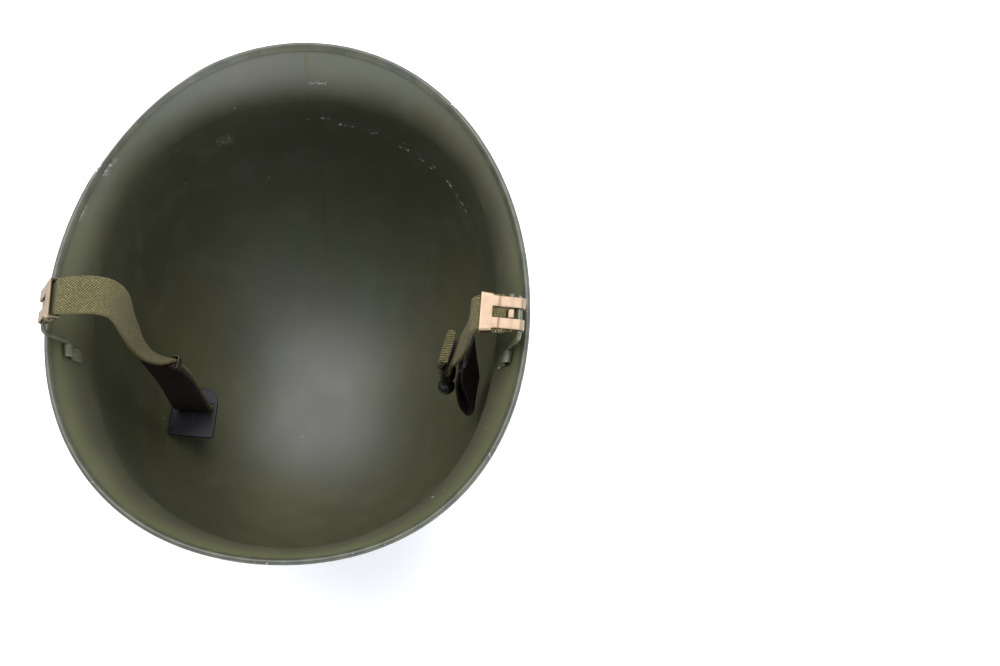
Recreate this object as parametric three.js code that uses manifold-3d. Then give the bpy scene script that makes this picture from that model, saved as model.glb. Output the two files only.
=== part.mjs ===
// A pressed steel helmet shell lying on its crown, open side up, with its two
// half chin straps hanging into it from swinging wire loops.
// Millimetres. +Z is up, +Y is the peak (front), the origin is the middle of the
// small flat on the crown that the shell rests on.

import * as THREE from 'three';
import { mergeVertices } from 'three/addons/utils/BufferGeometryUtils.js';
import Module from 'manifold-3d';

const wasm = await Module();
wasm.setup();

// Driving dimensions

const GAP = 0.3;                 // clearance between pieces that touch
const RIM_CENTRE_Y = 5;          // the rim's middle lies this far in front of the crown rest
const CROWN_FLAT_R = 13;         // radius of the flat that the shell rests on
const SHELL_WALL = 1.1;          // pressed steel
const BOWL_POWER = 2.25;         // 2 would be an ellipse; higher is fuller at the shoulder
const FLARE_FILLET_SIDE = 8;     // roundness of the turn from bowl to flare
const FLARE_FILLET_PEAK = 22;

// The shell's outline by direction, degrees from the front: the rim over its band,
// and the neck, the narrowest line inside, where the bowl turns into the flare.
const OUTLINE = [
  { from_front: 0, rim_radius: 142.5, rim_height: 159.0, neck_radius: 119.0, neck_height: 130.0 },
  { from_front: 30, rim_radius: 135.0, rim_height: 161.5, neck_radius: 117.5, neck_height: 133.0 },
  { from_front: 60, rim_radius: 123.0, rim_height: 168.5, neck_radius: 109.0, neck_height: 139.5 },
  { from_front: 90, rim_radius: 120.5, rim_height: 177.5, neck_radius: 102.5, neck_height: 144.0 },
  { from_front: 120, rim_radius: 130.0, rim_height: 180.5, neck_radius: 111.0, neck_height: 145.0 },
  { from_front: 150, rim_radius: 138.5, rim_height: 176.0, neck_radius: 121.0, neck_height: 143.0 },
  { from_front: 180, rim_radius: 138.0, rim_height: 172.0, neck_radius: 123.5, neck_height: 141.5 },
];

const SHELL_SIDES = 60;
const BOWL_RINGS = 11;
const FLARE_RINGS = 5;

const BAND_SHEET = 0.5;          // folded edge strip
const BAND_LEG = 3.4;

const WIRE_R = 1.4;              // loop wire
const WIRE_BEND_R = 3.2;
const FOOT_BEND_R = 2.2;
const LOOP_WIDTH = 24.5;         // cross bar, corner to corner
const LOOP_WAIST = 20;           // between the wire's two arms at the hinge line
const LOOP_BULGE = 28;           // widest, seven tenths of the way to the cross bar
const LOOP_DEPTH = 22;           // from the hinge line to the cross bar
const FOOT_LENGTH = 8;           // turned-out end of the wire in its bracket

const BRACKET_SHEET = 0.8;
const BRACKET_WIDTH = 7.2;
const BRACKET_TAIL = 9.5;        // flat tail welded down the wall
const WIRE_STANDOFF = 0.6;       // wall to wire at its hinge
const EYE_PLAY = 0.7;            // room for the wire to turn in its bracket
// The strip's foot, as height up the wall and distance off its flat tail, and its arch over the wire in degrees
const BRACKET_FOOT = [{ up: -BRACKET_TAIL, off: 0 }, { up: -7, off: 0 }, { up: -4.5, off: 0 }, { up: -3, off: 0.1 }];
const BRACKET_ARCH = { from: 198, to: -32, steps: 9 };

const CLIP_SHEET = 0.7;
const CLIP_LENGTH = 19.2;        // cross bar to mouth
const CLIP_SLEEVE_FROM = 11.2;   // the closed sleeve runs from here to the mouth
const CLIP_MOUTH_WIDTH = 19.6;
const CLIP_THROAT_WIDTH = 17.8;  // sleeve width at its inner end
const CLIP_FRONT = 3.0;          // front plate above the cross bar's axis
const CLIP_BACK = -2.7;
const BAR_PLAY = 0.5;            // round the cross bar
const FINGER_WIDTH = 6;
const FINGER_GAP = 5.2;
const TONGUE_WIDTH = 4.2;
const CLIP_LAP = 1.5;            // the fingers and the tongue run this far into the sleeve
const FINGER_LINE = [{ u: 9.6, w: CLIP_FRONT }, { u: 4.4, w: CLIP_FRONT - 0.45 }];
const FINGER_CURL = { from: 82, to: 290, steps: 9 };
const TONGUE_LINE = [
  { u: 6.6, w: CLIP_BACK }, { u: 5.4, w: CLIP_BACK + 0.7 }, { u: 5.0, w: 0.6 }, { u: 4.5, w: 1.5 }, { u: 3.0, w: 1.7 },
];

const WEB_WIDTH = 19;            // woven strap
const WEB_THICK = 2.2;
const LEATHER_THICK = 2.0;
const LEATHER_WIDTH = 19.6;

const KEEPER = { sheet: 0.6, length: 5, lip: 4.5, fold: 0.8, play: 2 * GAP + 0.3, past_leather: 0.8 };

const PLATE_THICK = 1.6;         // flat release plate on the left half strap
const PLATE_CORNER_R = 9;
const PLATE_SLOT_PLAY = { across: 0.7, through: 1.2 };
const STUD_THICK = 1.8;          // stirrup and ball on the right half strap
const BALL_R = 4;

// The two sides differ only in where their loops stand and lean, and how each clip sits on its bar.
const SIDES = {
  left: { sign: -1, loop_y: -15.8, hinge_height: 168.0, lean: 19.5, clip_slide: 0, clip_tilt: 62, clip_yaw: 0 },
  right: { sign: 1, loop_y: -13.6, hinge_height: 167.5, lean: 12.5, clip_slide: -0.9, clip_tilt: 2, clip_yaw: 2.5 },
};

// The strap's end held in its clip, along the clip from the cross bar
const HELD_END = [
  { u: 6.8, w: 0.15, width: 17.6, thick: 4.0 },
  { u: 10.0, w: 0.15, width: 17.4, thick: 4.0 },
  { u: 11.2, w: 0.15, width: 15.6, thick: 4.0 },
  { u: 18.2, w: -0.75, width: 17.0, thick: 2.4 },
  { u: 20.2, w: -0.75, width: 17.4, thick: 2.2 },
];

// Free half strap routes: centre line, the way the width points (turn from +X in plan,
// lift above level), width and thickness. Heights from the crown rest, y from the rim's middle.
const LEFT_WEB = [
  { x: -105.4, y: -16.2, z: 210.6, turn: 90, lift: 0, width: 18.2, thick: 2.2 },
  { x: -99.4, y: -15.9, z: 211.2, turn: 88, lift: 3, width: 19, thick: 2.2 },
  { x: -93.6, y: -14.0, z: 203.6, turn: 82, lift: 8, width: 19, thick: 2.2 },
  { x: -90.9, y: -11.3, z: 191.2, turn: 68, lift: 12, width: 19, thick: 2.2 },
  { x: -90.0, y: -9.6, z: 178.5, turn: 38, lift: 12, width: 19, thick: 2.2 },
  { x: -89.3, y: -10.6, z: 166.0, turn: 7, lift: 13, width: 19, thick: 2.2 },
  { x: -86.9, y: -12.9, z: 154.0, turn: -16, lift: 16, width: 19, thick: 2.2 },
  { x: -82.0, y: -16.4, z: 135.0, turn: -16, lift: 17, width: 19, thick: 2.2 },
  { x: -75.0, y: -16.9, z: 111.5, turn: -9, lift: 12, width: 19, thick: 2.2 },
  { x: -69.2, y: -22.2, z: 89.6, turn: 0, lift: 9, width: 19, thick: 2.2 },
  { x: -65.5, y: -27.8, z: 69.0, turn: 0, lift: 6, width: 19, thick: 2.2 },
  { x: -64.4, y: -29.5, z: 48.0, turn: -5, lift: 4, width: 19, thick: 2.2 },
];

const RIGHT_WEB = [
  { x: 92.6, y: -13.9, z: 186.4, turn: 88, lift: 0, width: 18, thick: 2.2 },
  { x: 91.4, y: -13.9, z: 178.0, turn: 87, lift: 0, width: 18.6, thick: 2.2 },
  { x: 90.0, y: -13.7, z: 161.0, turn: 84, lift: 0, width: 19, thick: 2.2 },
  { x: 87.4, y: -13.7, z: 144.0, turn: 82, lift: -2, width: 19, thick: 2.2 },
  { x: 84.2, y: -14.0, z: 131.0, turn: 80, lift: -8, width: 19, thick: 2.2 },
];
// The right web's turn round the stirrup bar: out of the stirrup's face and up from its bar
const BAR_TURN = [
  { out: 2.6, up: 3.4 }, { out: 2.5, up: -0.2 }, { out: 1.75, up: -2.5 }, { out: 0, up: -3.3 },
  { out: -1.75, up: -2.5 }, { out: -2.5, up: -0.2 }, { out: -2.6, up: 3.0 },
];
// Its doubled end
const RIGHT_WEB_END = [
  { x: 75.6, y: -14.2, z: 124.4, turn: 78, lift: -16, width: 19, thick: 3.8 },
  { x: 77.4, y: -13.5, z: 130.0, turn: 78, lift: -8, width: 19, thick: 4.2 },
];
const RIGHT_LEATHER = [
  { x: 92.5, y: -13.4, z: 158.0, turn: 83, lift: -4 },
  { x: 91.2, y: -17.0, z: 139.0, turn: 85, lift: -8 },
  { x: 90.9, y: -21.4, z: 117.0, turn: 87, lift: -11 },
  { x: 90.6, y: -25.6, z: 98.0, turn: 88, lift: -12 },
  { x: 88.2, y: -28.8, z: 85.4, turn: 88, lift: -12 },
  { x: 86.0, y: -25.4, z: 98.0, turn: 88, lift: -13 },
  { x: 85.4, y: -21.0, z: 112.0, turn: 86, lift: -15 },
  { x: 85.6, y: -17.0, z: 125.0, turn: 83, lift: -13 },
];
const LEATHER_CHORDS = { from: 50, to: 60, of: 62 };   // stretch of the left web that is faced
const LEATHER_OFF = 0.6;         // between web and its leather facing

// Where the release plate and the stud hang
const RELEASE_PLATE = { x: -64.5, y: -29.2, z: 53.6, droop: -4, yaw: -5, width: 25.5, near: 16.8, far: 11 };
const RELEASE_STUD = { x: 77.2, y: -16.4, z: 116.6, turn: 78, swing: 25, length: 19 };
// Right half of the stirrup's outline, from its top edge down to the neck, and of its window
const STUD_OUTLINE = [
  { across: 12.2, up: 1.5 }, { across: 12.2, up: -7.4 }, { across: 4.5, up: -12.4 }, { across: 2.2, up: -RELEASE_STUD.length },
];
const STUD_WINDOW = [{ across: 10.4, up: -1.2 }, { across: 10.4, up: -7 }];
const BALL_SINK = 0.7;           // the ball's middle is this share of its radius past the neck's end

const COLOURS = {
  shell: 0x4f5038, band: 0x55563f, loop: 0x4a4b33, clip_left: 0x8e7e5f, clip_right: 0xcfb79a,
  web: 0x6e6446, leather: 0x1c1513, black: 0x2d2a2e, keeper: 0x9a9078,
};

// Small helpers

const FINE_STEP = 0.004;         // share of a line over which its direction is taken
const rad = THREE.MathUtils.degToRad;
const V = (x, y, z) => new THREE.Vector3(x, y, z);

function finish(colour, roughness, metalness) {
  return new THREE.MeshStandardMaterial({ color: colour, roughness, metalness });
}

function closedGeometry(positions, triangles) {
  const g = new THREE.BufferGeometry();
  g.setAttribute('position', new THREE.Float32BufferAttribute(positions, 3));
  g.setIndex(triangles);
  return g;
}

function bare(geometry) {
  const g = geometry.clone();
  g.deleteAttribute('normal');
  g.deleteAttribute('uv');
  return mergeVertices(g, 1e-4);
}

function solid(geometry) {
  const g = bare(geometry);
  return new wasm.Manifold(new wasm.Mesh({
    numProp: 3,
    vertProperties: new Float32Array(g.attributes.position.array),
    triVerts: new Uint32Array(g.index.array),
  }));
}

function geometryOf(manifold) {
  const m = manifold.getMesh();
  return closedGeometry(Array.from(m.vertProperties), Array.from(m.triVerts));
}

function joined(geometries) {
  return geometryOf(geometries.map(solid).reduce((a, b) => a.add(b)));
}

// A series of cosines through seven values given every 30 degrees from front to back,
// so that the outline is smooth and the same on both sides.
function aroundHead(column) {
  const values = OUTLINE.map((row) => row[column]);
  const last = values.length - 1;
  const weight = (i) => (i === 0 || i === last ? 0.5 : 1);
  const terms = values.map((_, k) => values.reduce((sum, value, i) =>
    sum + weight(i) * value * Math.cos((Math.PI * k * i) / last), 0) * 2 * weight(k) / last);
  return (angle) => terms.reduce((sum, term, k) => sum + term * Math.cos(k * angle), 0);
}

const rimRadius = aroundHead('rim_radius');
const rimHeight = aroundHead('rim_height');
const neckRadius = aroundHead('neck_radius');
const neckHeight = aroundHead('neck_height');

// The shell's middle surface

const RIM_INSET = 1.75;          // from the band's outside to the steel's middle line at its edge
const RIM_DROP = 0.7;            // from the band's top to the steel's edge

function sheetProfile(angle) {
  const neck = { r: neckRadius(angle) + SHELL_WALL / 2, z: neckHeight(angle) };
  const rim = { r: rimRadius(angle) - RIM_INSET, z: rimHeight(angle) - RIM_DROP };
  const peak = Math.max(0, Math.cos(angle)) ** 2;
  const fillet = FLARE_FILLET_SIDE + (FLARE_FILLET_PEAK - FLARE_FILLET_SIDE) * peak;
  return { neck, rim, fillet };
}

function flareAt(profile, z) {
  const { neck, rim, fillet } = profile;
  const rise = (h) => Math.hypot(h, fillet) - fillet;
  return (rim.r - neck.r) * rise(z - neck.z) / rise(rim.z - neck.z);
}

function bowlRise(neck, r) {
  return neck.z * (1 - (1 - (r / neck.r) ** BOWL_POWER) ** (1 / BOWL_POWER));
}

// A point of the middle surface in the upright half plane of one direction:
// share 0 is the flat's edge, 1 the neck, 2 the rim.
function profilePoint(profile, share) {
  const { neck, rim } = profile;
  if (share > 1) {
    const z = neck.z + (rim.z - neck.z) * (share - 1);
    return { r: neck.r + flareAt(profile, z), z };
  }
  const start = Math.asin((CROWN_FLAT_R / neck.r) ** (BOWL_POWER / 2));
  const swing = start + (Math.PI / 2 - start) * share;
  const r = neck.r * Math.sin(swing) ** (2 / BOWL_POWER);
  const lowest = bowlRise(neck, CROWN_FLAT_R);
  const rise = neck.z * (1 - Math.cos(swing) ** (2 / BOWL_POWER));
  const z = SHELL_WALL / 2 + (rise - lowest) * (neck.z - SHELL_WALL / 2) / (neck.z - lowest);
  return { r, z };
}

function profileNormal(profile, share) {
  const step = FINE_STEP;
  const a = profilePoint(profile, Math.max(0, share - step));
  const b = profilePoint(profile, Math.min(2, share + step));
  const length = Math.hypot(b.r - a.r, b.z - a.z);
  return { r: (b.z - a.z) / length, z: -(b.r - a.r) / length };
}

// The bowl's middle moves back towards the crown, so that the rest lies under the weight.
function bowlCentreY(z, neckZ) {
  const depth = Math.max(0, 1 - z / neckZ);
  return -RIM_CENTRE_Y * depth ** 2;
}

function shellPoint(angle, share, offset) {
  const profile = sheetProfile(angle);
  const p = profilePoint(profile, share);
  const n = share === 0 ? { r: 0, z: -1 } : profileNormal(profile, share);
  const r = p.r + n.r * offset;
  const z = p.z + n.z * offset;
  return V(r * Math.sin(angle), r * Math.cos(angle) + bowlCentreY(p.z, profile.neck.z), z);
}

// Side wall at the straps: the inside of the flare at a given y and height
function wallX(y, z) {
  let angle = Math.PI / 2;
  let x = 0;
  for (let i = 0; i < 12; i += 1) {
    const profile = sheetProfile(angle);
    const r = profile.neck.r + flareAt(profile, z) - SHELL_WALL / 2;
    x = Math.sqrt(r * r - y * y);
    angle = Math.atan2(x, y);
  }
  return x;
}

function ringedSolid(rings, startPole, endPole) {
  const sides = rings[0].length;
  const positions = [];
  rings.forEach((ring) => ring.forEach((p) => positions.push(p.x, p.y, p.z)));
  const triangles = [];
  for (let i = 0; i + 1 < rings.length; i += 1) {
    for (let k = 0; k < sides; k += 1) {
      const a = i * sides + k;
      const b = i * sides + ((k + 1) % sides);
      triangles.push(a, b, a + sides, b, b + sides, a + sides);
    }
  }
  const pole = (point, ring, flip) => {
    const index = positions.length / 3;
    positions.push(point.x, point.y, point.z);
    for (let k = 0; k < sides; k += 1) {
      const a = ring * sides + k;
      const b = ring * sides + ((k + 1) % sides);
      triangles.push(...(flip ? [index, b, a] : [index, a, b]));
    }
  };
  pole(startPole, 0, true);
  pole(endPole, rings.length - 1, false);
  return closedGeometry(positions, triangles);
}

function makeShell() {
  const shares = [];
  for (let i = 0; i <= BOWL_RINGS; i += 1) shares.push(i / BOWL_RINGS);
  for (let i = 1; i <= FLARE_RINGS; i += 1) shares.push(1 + i / FLARE_RINGS);
  const ring = (share, offset) => Array.from({ length: SHELL_SIDES }, (_, k) =>
    shellPoint((-2 * Math.PI * k) / SHELL_SIDES, share, offset));
  const outside = shares.map((share) => ring(share, SHELL_WALL / 2));
  const inside = shares.map((share) => ring(share, -SHELL_WALL / 2)).reverse();
  return ringedSolid([...outside, ...inside], V(0, -RIM_CENTRE_Y, 0), V(0, -RIM_CENTRE_Y, SHELL_WALL));
}

// The folded strip over the shell's edge: a U section swept round the rim
function makeRimBand() {
  const inner = SHELL_WALL / 2 + GAP;
  const outer = inner + BAND_SHEET;
  const crest = GAP + BAND_SHEET;
  const section = [
    [-BAND_LEG, outer], [GAP, outer], [crest, outer - BAND_SHEET], [crest, -outer + BAND_SHEET],
    [GAP, -outer], [-BAND_LEG, -outer], [-BAND_LEG, -inner], [GAP, -inner], [GAP, inner], [-BAND_LEG, inner],
  ];
  const positions = [];
  const triangles = [];
  const points = section.length;
  for (let k = 0; k < SHELL_SIDES; k += 1) {
    const angle = (2 * Math.PI * k) / SHELL_SIDES;
    const profile = sheetProfile(angle);
    section.forEach(([up, out]) => {
      const length = Math.hypot(profile.rim.r - profile.neck.r, profile.rim.z - profile.neck.z);
      const share = Math.min(2, 2 + up / length);
      const p = profilePoint(profile, share);
      const n = profileNormal(profile, share);
      const past = Math.max(0, up);
      const r = p.r + n.r * out - n.z * past;
      const z = p.z + n.z * out + n.r * past;
      positions.push(r * Math.sin(angle), r * Math.cos(angle), z);
    });
  }
  for (let k = 0; k < SHELL_SIDES; k += 1) {
    const next = (k + 1) % SHELL_SIDES;
    for (let i = 0; i < points; i += 1) {
      const j = (i + 1) % points;
      const [a, b, c, d] = [k * points + i, k * points + j, next * points + j, next * points + i];
      triangles.push(a, b, c, a, c, d);
    }
  }
  return closedGeometry(positions, triangles);
}

// A sheet-metal ribbon: a centre line in a plane given a thickness, pushed out to a width
function ribbonShape(line, thick) {
  const left = [];
  const right = [];
  line.forEach(([x, y], i) => {
    const [px, py] = line[Math.max(0, i - 1)];
    const [qx, qy] = line[Math.min(line.length - 1, i + 1)];
    const length = Math.hypot(qx - px, qy - py);
    const nx = -(qy - py) / length;
    const ny = (qx - px) / length;
    left.push([x + nx * thick / 2, y + ny * thick / 2]);
    right.push([x - nx * thick / 2, y - ny * thick / 2]);
  });
  const outline = [...left, ...right.reverse()];
  return new THREE.Shape(outline.map(([x, y]) => new THREE.Vector2(x, y)));
}

// Extruded so that the ribbon's plane is the u,w plane and its width runs along v
function ribbon(line, thick, width, middle = 0) {
  const g = new THREE.ExtrudeGeometry(ribbonShape(line, thick), { depth: width, bevelEnabled: false, steps: 1 });
  g.translate(0, 0, -width / 2);
  g.rotateX(Math.PI / 2);
  g.translate(0, middle, 0);
  return g;
}

function arc(cx, cy, radius, { from, to, steps }) {
  return Array.from({ length: steps + 1 }, (_, i) => {
    const a = rad(from + ((to - from) * i) / steps);
    return [cx + radius * Math.cos(a), cy + radius * Math.sin(a)];
  });
}

// Middle of the wire in its bracket, on the right-hand side: it follows the curved wall
function hingeAt(height, y) {
  const wall = wallX(y, height);
  const slope = wallX(y, height + 1) - wall;
  const off = (WIRE_STANDOFF + WIRE_R) / Math.hypot(1, slope);
  return V(wall - off, y, height + off * slope);
}

// One side's wire loop: the middle of its hinge and of its cross bar
function loopPlaces({ sign, loop_y: y, hinge_height: height, lean }) {
  const hinge = hingeAt(height, y);
  const bar = V(hinge.x + LOOP_DEPTH * Math.sin(rad(lean)), y, hinge.z + LOOP_DEPTH * Math.cos(rad(lean)));
  return { hinge, bar, sign, height };
}

// Frame of the clip on its cross bar: u towards the mouth, v across, w out of the front plate
function clipFrame({ bar, sign }, { clip_slide: slide, clip_tilt: tilt, clip_yaw: yaw }) {
  const w = V(sign * Math.sin(rad(tilt)), 0, Math.cos(rad(tilt)));
  const u = V(-sign * Math.cos(rad(tilt)), 0, Math.sin(rad(tilt))).applyAxisAngle(w, -sign * rad(yaw));
  return new THREE.Matrix4().makeBasis(u, w.clone().cross(u), w).setPosition(bar.x * sign, bar.y + slide, bar.z);
}

// Mirrors right-hand geometry to the left and keeps its faces pointing out
function onSide(geometry, sign) {
  if (sign > 0) return geometry;
  const g = bare(geometry);
  const position = g.attributes.position;
  for (let i = 0; i < position.count; i += 1) position.setX(i, -position.getX(i));
  const index = Array.from(g.index.array);
  for (let i = 0; i < index.length; i += 3) [index[i], index[i + 1]] = [index[i + 1], index[i]];
  g.setIndex(index);
  return g;
}

// Wire bent to an open loop, waisted at its hinge line, whose two ends turn out along it
function makeWireLoop(places) {
  const { hinge, bar, height } = places;
  const up = bar.clone().sub(hinge).normalize();
  const foot = (along, bend) => ({ p: hingeAt(height, hinge.y + along), bend });
  const at = (along, depth) => ({ p: V(hinge.x, hinge.y + along, hinge.z).addScaledVector(up, depth), bend: WIRE_BEND_R });
  const arm = (end) => [
    foot(end * (LOOP_WAIST / 2 + FOOT_LENGTH), 0), foot(end * LOOP_WAIST / 2, FOOT_BEND_R),
    at(end * LOOP_BULGE / 2, LOOP_DEPTH * 0.7), at(end * LOOP_WIDTH / 2, LOOP_DEPTH),
  ];
  const corners = [...arm(-1), ...arm(1).reverse()];
  const path = new THREE.CurvePath();
  let from = corners[0].p;
  corners.slice(1).forEach(({ p: here, bend }, i) => {
    const next = corners[i + 2]?.p;
    if (!next) {
      path.add(new THREE.LineCurve3(from, here));
      return;
    }
    const enter = here.clone().addScaledVector(corners[i].p.clone().sub(here).normalize(), bend);
    const leave = here.clone().addScaledVector(next.clone().sub(here).normalize(), bend);
    path.add(new THREE.LineCurve3(from, enter));
    path.add(new THREE.QuadraticBezierCurve3(enter, here, leave));
    from = leave;
  });
  const round = new THREE.Shape();
  round.absarc(0, 0, WIRE_R, 0, 2 * Math.PI, false);
  const g = new THREE.ExtrudeGeometry(round, { steps: 60, extrudePath: path, curveSegments: 4, bevelEnabled: false });
  return onSide(g, places.sign);
}

// Strip welded to the wall below the wire's turned-out end and arched over it. Its outline
// is drawn as height up the wall and distance off it, then laid on the curved wall.
function makeBracket(places, end) {
  const near = GAP + BRACKET_SHEET / 2;
  const eye = WIRE_R + EYE_PLAY + BRACKET_SHEET / 2;
  const folded = [
    ...BRACKET_FOOT.map(({ up, off }) => [up, near + off]),
    ...arc(0, WIRE_STANDOFF + WIRE_R, eye, BRACKET_ARCH),
  ];
  const g = bare(ribbon(folded, BRACKET_SHEET, BRACKET_WIDTH));
  const middle = places.hinge.y + end * (LOOP_WAIST / 2 + FOOT_BEND_R + GAP + BRACKET_WIDTH / 2);
  const position = g.attributes.position;
  for (let i = 0; i < position.count; i += 1) {
    const y = middle + position.getY(i);
    const z = places.height + position.getX(i);
    const off = position.getZ(i);
    const wall = wallX(y, z);
    const slope = wallX(y, z + 0.5) - wallX(y, z - 0.5);
    const steep = Math.hypot(1, slope);
    position.setXYZ(i, wall - off / steep, y, z + off * slope / steep);
  }
  return onSide(g, places.sign);
}

// Folded clip: a flat sleeve that grips the strap's end, two fingers curled over the
// cross bar and, between them, a tongue from the back plate. u runs from bar to mouth.
function makeClip(frame) {
  const t = CLIP_SHEET;
  const curl = WIRE_R + BAR_PLAY + t / 2;
  const lap = CLIP_SLEEVE_FROM + CLIP_LAP;
  const fingerLine = [[lap, CLIP_FRONT], ...FINGER_LINE.map(({ u, w }) => [u, w]), ...arc(0, 0, curl, FINGER_CURL)];
  const fingerAt = (FINGER_GAP + FINGER_WIDTH) / 2;
  const tongueLine = [[lap, CLIP_BACK], ...TONGUE_LINE.map(({ u, w }) => [u, w])];
  const sleeve = new THREE.Shape();
  const half = CLIP_MOUTH_WIDTH / 2;
  const top = CLIP_FRONT + t / 2;
  const low = CLIP_BACK - t / 2;
  sleeve.moveTo(-half, low).lineTo(half, low).lineTo(half, top).lineTo(-half, top).closePath();
  const hole = new THREE.Path();
  hole.moveTo(-half + t, low + t).lineTo(-half + t, top - t).lineTo(half - t, top - t).lineTo(half - t, low + t);
  sleeve.holes.push(hole.closePath());
  const length = CLIP_LENGTH - CLIP_SLEEVE_FROM;
  const tube = new THREE.ExtrudeGeometry(sleeve, { depth: length, bevelEnabled: false, steps: 1 });
  const turned = new THREE.Matrix4().makeBasis(V(0, 1, 0), V(0, 0, 1), V(1, 0, 0));
  tube.applyMatrix4(turned.setPosition(CLIP_SLEEVE_FROM, 0, 0));
  const position = tube.attributes.position;
  for (let i = 0; i < position.count; i += 1) {
    const share = (position.getX(i) - CLIP_SLEEVE_FROM) / length;
    const width = CLIP_THROAT_WIDTH + (CLIP_MOUTH_WIDTH - CLIP_THROAT_WIDTH) * share;
    position.setY(i, position.getY(i) * width / CLIP_MOUTH_WIDTH);
  }
  const g = joined([
    tube, ribbon(fingerLine, t, FINGER_WIDTH, fingerAt), ribbon(fingerLine, t, FINGER_WIDTH, -fingerAt),
    ribbon(tongueLine, t, TONGUE_WIDTH),
  ]);
  return g.applyMatrix4(frame);
}

// Straps: a rectangular section swept along a smooth route

function routeOf(rows) {
  const curve = new THREE.CatmullRomCurve3(rows.map((row) => V(row.x, row.y, row.z)), false, 'centripetal');
  const mix = (column, t) => {
    const place = t * (rows.length - 1);
    const i = Math.min(rows.length - 2, Math.floor(place));
    return THREE.MathUtils.lerp(rows[i][column], rows[i + 1][column], place - i);
  };
  return (t) => {
    const step = FINE_STEP / 2;
    const ahead = curve.getPoint(Math.min(1, t + step)).sub(curve.getPoint(Math.max(0, t - step))).normalize();
    const turn = rad(mix('turn', t));
    const lift = rad(mix('lift', t));
    const across = V(Math.cos(turn) * Math.cos(lift), Math.sin(turn) * Math.cos(lift), Math.sin(lift));
    across.addScaledVector(ahead, -across.dot(ahead)).normalize();
    return { point: curve.getPoint(t), ahead, across, face: ahead.clone().cross(across), mix: (c) => mix(c, t) };
  };
}

function strap(route, { from = 0, to = 1, steps, width, thick, lift = 0 }) {
  const positions = [];
  for (let i = 0; i <= steps; i += 1) {
    const at = route(from + ((to - from) * i) / steps);
    const half = (width ?? at.mix('width')) / 2;
    const deep = (thick ?? at.mix('thick')) / 2;
    [[-half, -deep], [half, -deep], [half, deep], [-half, deep]].forEach(([a, n]) => {
      const p = at.point.clone().addScaledVector(at.across, a).addScaledVector(at.face, n + lift);
      positions.push(p.x, p.y, p.z);
    });
  }
  const triangles = [0, 2, 1, 0, 3, 2];
  for (let i = 0; i < steps; i += 1) {
    for (let k = 0; k < 4; k += 1) {
      const [a, b] = [i * 4 + k, i * 4 + ((k + 1) % 4)];
      triangles.push(a, b, b + 4, a, b + 4, a + 4);
    }
  }
  const e = steps * 4;
  triangles.push(e, e + 1, e + 2, e, e + 2, e + 3);
  return closedGeometry(positions, triangles);
}

// Small folded strip over the edge of the left half strap where the leather begins
function makeKeeper(route) {
  const { sheet, length, lip, fold, play, past_leather: past } = KEEPER;
  const at = route((LEATHER_CHORDS.from + past) / LEATHER_CHORDS.of);
  const stack = WEB_THICK + LEATHER_OFF + LEATHER_THICK;
  const middle = (LEATHER_OFF + LEATHER_THICK) / 2;
  const half = stack / 2 + play;
  const edge = LEATHER_WIDTH / 2 + play;
  const line = [
    [edge - lip, middle - half], [edge - fold, middle - half], [edge, middle - half + fold],
    [edge, middle + half - fold], [edge - fold, middle + half], [edge - lip, middle + half],
  ];
  const g = ribbon(line, sheet, length);
  const along = at.face.clone().cross(at.across);
  return g.applyMatrix4(new THREE.Matrix4().makeBasis(at.across, along, at.face).setPosition(at.point));
}

// Flat release plate: square at its near edge, rounded at the far one, with a slot for the strap
function makeReleasePlate() {
  const { x, y, z, droop, yaw, width, near, far } = RELEASE_PLATE;
  const half = width / 2;
  const round = PLATE_CORNER_R;
  const outline = new THREE.Shape();
  outline.moveTo(-half + 1, -near).lineTo(half - 1, -near).lineTo(half, -near + 1).lineTo(half, far - round);
  outline.absarc(half - round, far - round, round, 0, Math.PI / 2, false);
  outline.absarc(-half + round, far - round, round, Math.PI / 2, Math.PI, false);
  outline.lineTo(-half, -near + 1).closePath();
  const slot = new THREE.Path();
  const [reach, deep] = [WEB_WIDTH / 2 + PLATE_SLOT_PLAY.across, WEB_THICK / 2 + PLATE_SLOT_PLAY.through];
  slot.moveTo(-reach, -deep).lineTo(-reach, deep).lineTo(reach, deep).lineTo(reach, -deep).closePath();
  outline.holes.push(slot);
  const g = new THREE.ExtrudeGeometry(outline, { depth: PLATE_THICK, bevelEnabled: false, curveSegments: 5 });
  g.translate(0, 0, -PLATE_THICK / 2);
  g.rotateY(rad(droop)).rotateZ(rad(yaw)).translate(x, y, z);
  return g;
}

// Frame of the stirrup: along its bar, up, out of its face
function studFrame() {
  const { x, y, z, turn, swing } = RELEASE_STUD;
  const along = V(Math.cos(rad(turn)) * Math.cos(rad(swing)), Math.sin(rad(turn)) * Math.cos(rad(swing)), -Math.sin(rad(swing)));
  const out = V(Math.sin(rad(turn)), -Math.cos(rad(turn)), 0);
  return new THREE.Matrix4().makeBasis(along, out.clone().cross(along), out).setPosition(x, y, z);
}

// Stirrup whose bar the right half strap turns round, with a ball on a short neck
function makeReleaseStud() {
  const bothHalves = (rows) => [
    ...rows.map(({ across, up }) => new THREE.Vector2(-across, up)),
    ...rows.map(({ across, up }) => new THREE.Vector2(across, up)).reverse(),
  ];
  const outline = new THREE.Shape(bothHalves(STUD_OUTLINE));
  outline.holes.push(new THREE.Path(bothHalves(STUD_WINDOW)));
  const plate = new THREE.ExtrudeGeometry(outline, { depth: STUD_THICK, bevelEnabled: false });
  plate.translate(0, 0, -STUD_THICK / 2);
  const ball = new THREE.SphereGeometry(BALL_R, 14, 10).translate(0, -RELEASE_STUD.length - BALL_R * BALL_SINK, 0);
  return joined([plate, ball]).applyMatrix4(studFrame());
}

// The assembly

const helmet = new THREE.Group();
helmet.position.y = RIM_CENTRE_Y;

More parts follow.
